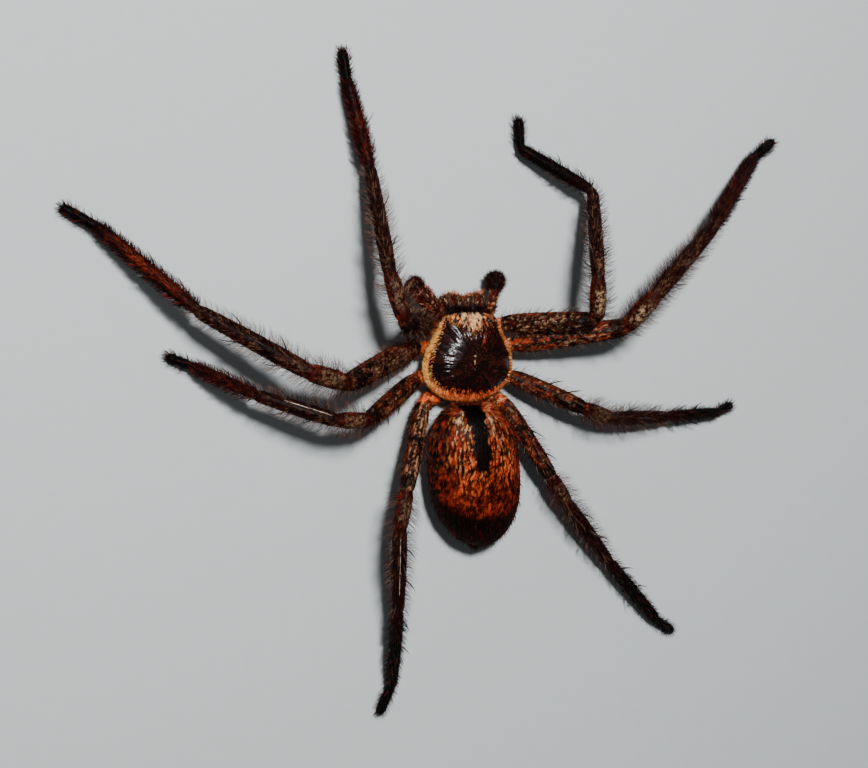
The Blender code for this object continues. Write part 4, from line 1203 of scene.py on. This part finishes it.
def plant_rim(dice):
    """The yellow-orange fringe round the shield, widest and reddest behind."""
    cream, straw, orange, maroon = tones("cream", "straw", "orange", "maroon")
    angle = dice.uniform(-math.pi, math.pi, RIM_HAIRS)
    rear = smooth(1.9, 2.8, np.abs(angle))
    band = 0.034 + 0.090 * rear + 0.045 * smooth(0.3, 1.2, angle)
    band *= np.where(dice.random(RIM_HAIRS) < 0.15, 2.0, 1.0)
    front = smooth(0.80, 0.55, np.abs(angle))
    reach = 1.0 - band * np.abs(dice.normal(0.0, 0.55, RIM_HAIRS)) - 0.035 * front
    keep = dice.random(RIM_HAIRS) > smooth(0.55, 0.45, np.abs(angle)) * 0.8
    angle, reach, rear, front, band = (rows[keep] for rows in (angle, reach, rear, front, band))
    count = len(angle)
    place, outward, tangent, normal = shield_ground(angle, reach)
    sweep = outward + np.array((0.0, 0.9, 0.0)) * dice.uniform(0.2, 1.0, count)[:, None]
    sweep = unit(sweep + tangent * dice.normal(0.0, 0.55, count)[:, None])
    left = smooth(0.2, 1.0, angle / math.pi * 3)
    clump = pattern(42, place[:, 0] / 0.16, place[:, 1] / 0.16)
    dark = smooth(0.42, 0.30, clump) * 0.6 + (dice.random(count) < 0.09)
    dark += smooth(1.6, 2.2, (1 - reach) / (band * 0.5))
    colour = layered(
        1.45 * mix(orange, straw, (0.45 + 0.55 * left) * (1 - rear * 0.85)),
        (orange * 2.4 + straw * 0.1, rear * 0.8),
        (cream * 0.6 + straw * 0.8, smooth(0.60, 0.74, clump) * (1 - rear * 0.6)),
        (cream, front * 0.6),
        (maroon, np.clip(dark, 0, 1)))
    colour *= np.exp(dice.normal(0.0, 0.5, count))[:, None]
    length = dice.uniform(0.25, 0.65, count) * (1 + 0.5 * rear) * (1 - 0.45 * front)
    patch = shield_tile(0.85, 0.85, angle / math.tau + 0.5, reach)
    plant("rim_fringe", coat_material(), "carapace", place, normal, sweep, length,
          dice.uniform(0.045, 0.085, count), random_rise(dice, count, 15, 75), dice.uniform(0.1, 0.4, count),
          colour, patch)


def plant_down(dice):
    """The sparse dark down on the shield."""
    count = DOWN_HAIRS
    angle = dice.uniform(-math.pi, math.pi, count)
    reach = 0.93 * np.sqrt(dice.random(count))
    place, _, _, normal = shield_ground(angle, reach)
    lie = np.stack([dice.normal(0, 0.35, count), np.ones(count), np.zeros(count)], axis=1)
    black, maroon = tones("black", "maroon")
    colour = mix(black, maroon * 1.4, dice.random(count) ** 2)
    patch = shield_tile(0.72, 0.72, angle / math.tau + 0.5, reach)
    plant("shield_down", coat_material(), "carapace", place, normal, lie, dice.uniform(0.25, 0.5, count),
          dice.uniform(0.03, 0.05, count), random_rise(dice, count, 8, 28), dice.uniform(0.1, 0.4, count),
          colour, patch)


def plant_face(dice):
    """The pale clumped hairs of the head, a thin streak behind them and two dots at the middle pit."""
    cream, straw, orange, rust, maroon = tones("cream", "straw", "orange", "rust", "maroon")
    count = FACE_HAIRS
    x = dice.normal(0.0, 1.9, count)
    y = CARAPACE_FRONT + 0.4 + np.abs(dice.normal(0.0, 0.95, count)) * (1.15 - 0.12 * np.abs(x))
    streak = dice.random(count) < 0.08
    x = np.where(streak, dice.normal(0.0, 0.16, count), x)
    y = np.where(streak, dice.uniform(-6.6, -4.2, count), y)
    dots = dice.random(count) < 0.004
    x = np.where(dots, dice.normal(-0.05, 0.035, count), x)
    ahead = dice.random(count) < 0.5
    y = np.where(dots, np.where(ahead, dice.uniform(-1.6, -1.0, count), dice.uniform(-0.5, 0.1, count)), y)
    angle = np.arctan2(x, -(y - CARAPACE_CENTRE_Y))
    reach = np.hypot(x, y - CARAPACE_CENTRE_Y) / rim_radius(angle)
    clump = pattern(43, x / 0.15, y / 0.24)
    keep = (reach < 0.96) & (np.abs(x) < 3.9) & ((clump > 0.45) | dots)
    keep &= (np.abs(x - 2.35) > 0.42) | (clump > 0.62)
    for spot, radius in eye_places():
        keep &= np.hypot(x - spot.x, y - spot.y) > radius * 1.05
    angle, reach, x, y = (rows[keep] for rows in (angle, reach, x, y))
    count = len(x)
    place, _, _, normal = shield_ground(angle, reach)
    lie = np.stack([-x * 0.25 + dice.normal(0, 0.25, count), np.full(count, -1.0), np.zeros(count)], axis=1)
    colour = layered(
        cream,
        (straw, 0.2 + smooth(1.2, 3.0, np.abs(x)) * 0.6),
        (orange * 0.8, smooth(0.48, 0.34, pattern(44, x / 0.13, y / 0.22)) * 0.9),
        (maroon, smooth(0.45, 0.3, pattern(41, x / 0.7, y / 0.9)) * 0.85),
        (rust, np.exp(-((x + 2.0) / 0.5) ** 2) * smooth(-7.0, -6.4, y) * 0.8))
    colour *= np.exp(dice.normal(0.0, 0.3, count))[:, None]
    patch = shield_tile(0.85, 0.72, x / 8 + 0.5, -y / 9)
    plant("face_hair", coat_material(), "carapace", place, normal, lie, dice.uniform(0.25, 0.5, count),
          dice.uniform(0.035, 0.06, count), random_rise(dice, count, 12, 55), dice.uniform(0.1, 0.4, count),
          colour, patch)


def plant_bristles(dice):
    """The loose bristles at the jaws' ends."""
    coat = Coat()
    ends = (coat.part == PART["jaw"]) * smooth(0.84, 0.95, coat.share) * smooth(-0.6, 0.0, coat.normal[:, 2])
    seeds = coat.sow(ends * BRISTLE_DENSITY, dice)
    count = len(seeds["place"])
    rust, straw = tones("rust", "straw")
    colour = mix(rust * 1.5, straw * 0.8, dice.random(count) ** 1.5)
    lie = np.array((0.0, -1.0, 0.25)) + dice.normal(0, 0.25, (count, 3))
    plant("jaw_bristles", hair_material(), "jaws", seeds["place"], seeds["normal"], lie,
          dice.uniform(0.8, 1.7, count), np.full(count, 0.060), random_rise(dice, count, 20, 60),
          dice.uniform(0.0, 0.3, count), colour, patch_of(seeds), levels=STOUT_LEVELS, thin=0.85)


# Operators, one for each piece or group of like pieces.

class SPIDER_OT_stage(bpy.types.Operator):
    """Add the camera, the plain floor and soft lights"""
    bl_idname = "spider.stage"
    bl_label = "Stage"

    def execute(self, context):
        right, up = Vector(CAMERA_RIGHT).normalized(), Vector(CAMERA_UP).normalized()
        back = right.cross(up).normalized()
        up = back.cross(right).normalized()
        data = bpy.data.cameras.new("photo_view")
        data.sensor_width = SENSOR_MM
        data.lens = FOCAL_PIXELS * SENSOR_MM / PHOTO_WIDTH
        data.clip_start = 0.005
        camera = link_object("photo_view", data)
        turn = Matrix((right, up, back)).transposed().to_4x4()
        camera.matrix_world = Matrix.Translation(Vector(CAMERA_PLACE) * MM + SHIFT) @ turn
        context.scene.camera = camera

        deselect()
        bpy.ops.mesh.primitive_plane_add(size=FLOOR_SIZE, location=(0.0, 0.0, 0.0))
        floor = rename(context.object, "floor")
        floor.data.materials.append(floor_material())

        for lamp in LAMPS:
            data = bpy.data.lights.new(lamp.name, "AREA")
            data.shape = "DISK"
            data.size = lamp.size
            data.energy = lamp.power
            light = link_object(lamp.name, data)
            light.visible_glossy = lamp.glossy
            toward = back * lamp.back + right * lamp.right + up * lamp.up
            light.location = toward.normalized() * lamp.distance
            light.rotation_euler = toward.to_track_quat("Z", "Y").to_euler()
        world = context.scene.world or bpy.data.worlds.new("studio")
        context.scene.world = world
        world.use_nodes = True
        set_inputs(world.node_tree.nodes["Background"], SKY)
        return {"FINISHED"}


class SPIDER_OT_skin(bpy.types.Operator):
    """Build one skin over all the flesh"""
    bl_idname = "spider.skin"
    bl_label = "Skin"

    def execute(self, context):
        limbs = limb_lines()
        pieces = [make_abdomen(), make_thorax()]
        for limb in limbs:
            piece = tube(limb["name"], limb["line"], limb["radius"])
            if limb["name"].startswith("jaw"):
                choose(piece)
                bpy.ops.transform.resize(value=(1.0, 1.0, JAW_FLATNESS),
                                         center_override=Vector(JAW_CENTRE) * MM + SHIFT)
                put_place_in_mesh(piece)
            pieces.append(piece)
        for line, radius in [JAW_CLEFT, WAIST] + spinneret_lines():
            pieces.append(tube("bridge", np.array([tuple(p) for p in line]), radius))
        skin = join("spider_skin", pieces)
        put_place_in_mesh(skin)
        blend = skin.modifiers.new("blend", "REMESH")
        blend.mode = "VOXEL"
        blend.voxel_size = sizes().skin_grain
        even = skin.modifiers.new("even", "SMOOTH")
        even.factor = 0.5
        even.iterations = 4
        choose(skin)
        for modifier in list(skin.modifiers):
            bpy.ops.object.modifier_apply(modifier=modifier.name)
        found = locate_on_limbs(skin.data, limbs)
        for name, kind in (("part", "INT"), ("share", "FLOAT"), ("turn", "FLOAT"), ("limb", "INT")):
            store(skin.data, name, kind, "value", found[name])
        store(skin.data, "lie", "FLOAT_VECTOR", "vector", found["lie"])
        set_tint(skin.data, paint(found) * 0.6)
        skin.data.materials.clear()
        flesh = [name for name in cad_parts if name.startswith(("leg_", "palp_", "chelicera_"))
                 or name in ("abdomen", "sternum", "pedicel", "spinnerets")]
        settle(skin, painted_material("Spider Skin", 0.5, 0.04, 2500.0, 0.35, 0.5), "legs", *flesh)
        return {"FINISHED"}


class SPIDER_OT_shield(bpy.types.Operator):
    """Build the glossy shield with its grooves"""
    bl_idname = "spider.shield"
    bl_label = "Shield"

    def execute(self, context):
        deselect()
        bpy.ops.mesh.primitive_uv_sphere_add(segments=360, ring_count=160, radius=1.0)
        shield = rename(context.object, "shield")
        co = read(shield.data.vertices, "co", 3)
        polar, equator = np.arccos(np.clip(co[:, 2], -1, 1)), math.pi / 2
        angle = np.arctan2(co[:, 0], -co[:, 1])
        reach = np.clip(np.where(polar < equator, polar / equator, (math.pi - polar) / equator), 0, 1)
        place = shield_points(angle, reach)
        under = polar > equator + 1e-6
        place[under, 2] = RIM_HEIGHT + SHIELD_HOLLOW * (1 - reach[under] ** 4)
        lip = (reach > LIP_FROM) & ~under
        place[lip, 2] -= (reach[lip] - LIP_FROM) / (1 - LIP_FROM) * LIP_DROP
        shield.data.vertices.foreach_set("co", to_world(place).reshape(-1))
        shield.data.update()
        set_tint(shield.data, paint_shield(place[:, 0], place[:, 1], reach))
        settle(shield, painted_material("Shield Gloss", 0.20, 0.20, 3600.0, 0.35, 0.8, 0.03 * MM),
               "carapace", "carapace")
        return {"FINISHED"}


class SPIDER_OT_eyes(bpy.types.Operator):
    """Build the eight polished eyes"""
    bl_idname = "spider.eyes"
    bl_label = "Eyes"

    def execute(self, context):
        finish = plain_gloss("Eye Gloss", (0.006, 0.004, 0.004), 0.05, 900.0, coat=1.0)
        for name in sorted(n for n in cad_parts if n.startswith("eye_")):
            low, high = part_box(name)
            deselect()
            bpy.ops.mesh.primitive_uv_sphere_add(segments=32, ring_count=20, radius=(high.x - low.x) / 2,
                                                 location=(low + high) / 2)
            settle(rename(context.object, name.replace("eye_", "lens_")), finish, "eyes", name)
        return {"FINISHED"}


class SPIDER_OT_fangs(bpy.types.Operator):
    """Build the two curved fangs and the claws of the feet"""
    bl_idname = "spider.fangs"
    bl_label = "Fangs and Claws"

    def execute(self, context):
        finish = plain_gloss("Fang Gloss", (0.020, 0.007, 0.005), 0.14, 1200.0, 0.1)
        for word, side in SIDES.items():
            low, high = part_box("fang_" + word)
            outer, inner = (high, low) if side > 0 else (low, high)
            inset = FANG_INSET * MM
            root = to_body((outer.x - side * inset, low.y + inset, high.z - inset))
            tip = to_body((inner.x, high.y, low.z + 0.25 * MM))
            share = np.linspace(0, 1, 14)
            line = root + (tip - root) * share[:, None]
            line[:, 1] -= FANG_BEND * np.sin(np.pi * share)
            fang = tube("fang_smooth_" + word, line, FANG_GIRTH * (1 - share ** 1.3) + 0.02)
            settle(fang, finish, "fangs", "fang_" + word)
        claws = []
        for word, number in STANCES:
            points, _ = leg_corners(word, number)
            ahead = Vector((points[-1].x - points[-2].x, points[-1].y - points[-2].y, 0.0)).normalized()
            across = ahead.cross(UP)
            for side in (1, -1):
                start = points[-1] + across * side * CLAW_SPREAD + UP * 0.15 - ahead * 0.15
                shares, line = np.linspace(0, 1, 8), []
                for s in shares:
                    rise = CLAW_ARCH * math.sin(math.pi * min(s * 1.1, 1.0)) - CLAW_DROP * s * s
                    line.append(tuple(start + ahead * CLAW_LENGTH * s + across * side * 0.12 * s + UP * rise))
                claws.append(tube("claw", np.array(line), CLAW_GIRTH * (1 - shares ** 1.5) + 0.012))
        settle(join("claws", claws), finish, "fangs")
        return {"FINISHED"}


class SPIDER_OT_spines(bpy.types.Operator):
    """Set the stout dark spines on the legs"""
    bl_idname = "spider.spines"
    bl_label = "Spines"

    def execute(self, context):
        dice = np.random.default_rng(sizes().seed + 1)
        roots, outs, lies = [], [], []
        for limb in limb_lines()[:len(STANCES)]:
            for name, spots in SPINE_PLACES.items():
                here = np.flatnonzero(limb["part"] == PART[name])
                for share, turn in spots:
                    at = here[np.abs(limb["share"][here] - share - dice.uniform(-0.03, 0.03)).argmin()]
                    lies.append(limb["lie"][at])
                    outs.append(turned_out(limb["lie"][at:at + 1], turn)[0])
                    roots.append(limb["line"][at] + outs[-1] * (limb["radius"][at] - 0.02))
        count = len(roots)
        length = sizes().spine / MM * dice.uniform(0.75, 1.1, count)
        plant("spines", plain_gloss("Spine Gloss", (0.008, 0.004, 0.003), 0.50, 1500.0, coat=0.0), "legs",
              np.array(roots), np.array(outs), np.array(lies), length, np.full(count, 0.24),
              random_rise(dice, count, 35, 60), np.full(count, 0.25), tones("black")[0] * 1.5,
              np.full((count, 2), 0.5), levels=STOUT_LEVELS, thin=0.8, glow=1.0)
        return {"FINISHED"}


class SPIDER_OT_shin_lines(bpy.types.Operator):
    """Lay the bare line along two of the shins, painted pale as a painted highlight of its gloss"""
    bl_idname = "spider.shin_lines"
    bl_label = "Shin Lines"

    def execute(self, context):
        # The pale colour is a painted highlight for the glint of the bare glossy stripe, given only to the
        # two shins turned to the lamp.
        finish = plain_gloss("Line Gloss", (0.42, 0.34, 0.28), 0.35, 1200.0, coat=0.2)
        limbs = limb_lines()
        for bare in SHIN_LINES:
            limb = limbs[bare.limb]
            stretch = (limb["share"] > bare.first) & (limb["share"] < bare.last)
            here = np.flatnonzero((limb["part"] == PART["tibia"]) & stretch)
            out = turned_out(limb["lie"][here], bare.turn)
            line = limb["line"][here] + out * (limb["radius"][here] + 0.10)[:, None]
            share = np.linspace(0, 1, len(here))
            half = 0.036 * np.sin(np.pi * share) ** 0.4 * smooth(0.0, 0.10, np.abs(share - bare.gap)) + 0.006
            settle(tube("shin_line_" + limb["name"], line, half), finish, "legs")
        return {"FINISHED"}


class SPIDER_OT_pile(bpy.types.Operator):
    """Cover the skin with short lying hairs"""
    bl_idname = "spider.pile"
    bl_label = "Short Coat"

    def execute(self, context):
        dice = np.random.default_rng(sizes().seed + 2)
        for bed, name, seeds, count, colour in Coat().beds(PILE_BEDS, dice, fewer_below):
            part, share = seeds["part"], seeds["share"]
            colour = colour * np.exp(dice.normal(0.0, 0.35, count))[:, None]
            length = sizes().pile / MM * bed.length * dice.uniform(0.65, 1.25, count)
            rise = random_rise(dice, count, *bed.rise)
            collar = (part == PART["abdomen"]) * smooth(0.09, 0.02, share)
            brush = (part == PART["metatarsus"]) & np.isin(seeds["limb"], BRUSHED_LEGS)
            brush = brush * smooth(0.7, 1.3, np.abs(seeds["turn"]))
            length = length * (1 + 1.2 * collar) * (1 + 1.6 * brush)
            rise = rise + 0.9 * collar + 0.6 * brush
            toes = (part == PART["tarsus"]) & (share > 0.75)
            length, rise = np.where(toes, length * 1.15, length), np.where(toes, rise * 0.6, rise)
            plant(name, coat_material(), bed.slot, seeds["place"], seeds["normal"],
                  scatter_lie(seeds, dice, 12), length, bed.width * dice.uniform(0.7, 1.3, count), rise,
                  dice.uniform(0.1, 0.45, count), colour, patch_of(seeds))
        return {"FINISHED"}


class SPIDER_OT_long_hairs(bpy.types.Operator):
    """Set the long fine hairs that stand out from the legs"""
    bl_idname = "spider.long_hairs"
    bl_label = "Long Hairs"

    def execute(self, context):
        dice = np.random.default_rng(sizes().seed + 3)
        cream, orange, rust, maroon, black = tones("cream", "orange", "rust", "maroon", "black")
        for bed, name, seeds, count, colour in Coat().beds(HAIR_BEDS, dice, more_behind):
            part, share = seeds["part"], seeds["share"]
            # A random share of the long hairs gets a paler colour, with more of them on the first three left
            # legs. This is partly the hairs' own colour and partly painted light, for hairs lit in front of
            # the legs' shadows.
            pale = (dice.random(count) < np.where(seeds["limb"] < LEFT_4, 0.16, 0.05))[:, None]
            pale_and_lit_hairs, others = cream * 0.26 + orange * 0.15, colour * 0.2 + maroon * 0.4
            if bed.name == "hairs_abdomen":
                pale_and_lit_hairs, others = rust, maroon * 0.5 + black
            if bed.name == "hairs_feet":
                pale_and_lit_hairs, others = rust * 0.8, black * 2.0
            length = sizes().leg_hair / MM * bed.length * dice.uniform(0.72, 1.12, count)
            taper = np.where(part == PART["tibia"], 1.05 - 0.40 * share, 1.0)
            taper = np.where(part == PART["metatarsus"], 1.25 - 0.55 * share, taper)
            material = coat_material() if bed.slot == "abdomen" else hair_material()
            plant(name, material, bed.slot, seeds["place"], seeds["normal"], scatter_lie(seeds, dice, 9),
                  length * taper, np.full(count, bed.width), random_rise(dice, count, *bed.rise),
                  dice.uniform(0.15, 0.40, count), np.where(pale, pale_and_lit_hairs, others), patch_of(seeds), thin=0.85)
        return {"FINISHED"}


class SPIDER_OT_rim_hair(bpy.types.Operator):
    """Set the pale hairs of the shield's rim, the face and the jaws"""
    bl_idname = "spider.rim_hair"
    bl_label = "Shield Hair"

    def execute(self, context):
        dice = np.random.default_rng(sizes().seed + 4)
        plant_rim(dice)
        plant_down(dice)
        plant_face(dice)
        plant_bristles(dice)
        return {"FINISHED"}


class SPIDER_PT_looks(bpy.types.Panel):
    """All the steps of the spider's looks"""
    bl_label = "Spider Looks"
    bl_idname = "SPIDER_PT_looks"
    bl_space_type = "VIEW_3D"
    bl_region_type = "UI"
    bl_category = "Spider"

    def draw(self, context):
        for group in (context.scene.spider_sizes, context.scene.spider_colours):
            box = self.layout.box()
            for name in group.__annotations__:
                box.prop(group, name)
        for operator in OPERATORS:
            self.layout.operator(operator.bl_idname)


OPERATORS = (SPIDER_OT_stage, SPIDER_OT_skin, SPIDER_OT_shield, SPIDER_OT_eyes, SPIDER_OT_fangs,
             SPIDER_OT_spines, SPIDER_OT_shin_lines, SPIDER_OT_pile, SPIDER_OT_long_hairs, SPIDER_OT_rim_hair)
CLASSES = (SpiderSizes, SpiderColours) + OPERATORS + (SPIDER_PT_looks,)


def register():
    for each in CLASSES:
        bpy.utils.register_class(each)
    bpy.types.Scene.spider_sizes = bpy.props.PointerProperty(type=SpiderSizes)
    bpy.types.Scene.spider_colours = bpy.props.PointerProperty(type=SpiderColours)


def unregister():
    del bpy.types.Scene.spider_sizes
    del bpy.types.Scene.spider_colours
    for each in reversed(CLASSES):
        bpy.utils.unregister_class(each)


def main():
    register()
    bpy.ops.spider.stage()
    bpy.ops.spider.skin()
    bpy.ops.spider.shield()
    bpy.ops.spider.eyes()
    bpy.ops.spider.fangs()
    bpy.ops.spider.spines()
    bpy.ops.spider.shin_lines()
    bpy.ops.spider.pile()
    bpy.ops.spider.long_hairs()
    bpy.ops.spider.rim_hair()


if __name__ == "__main__":
    main()
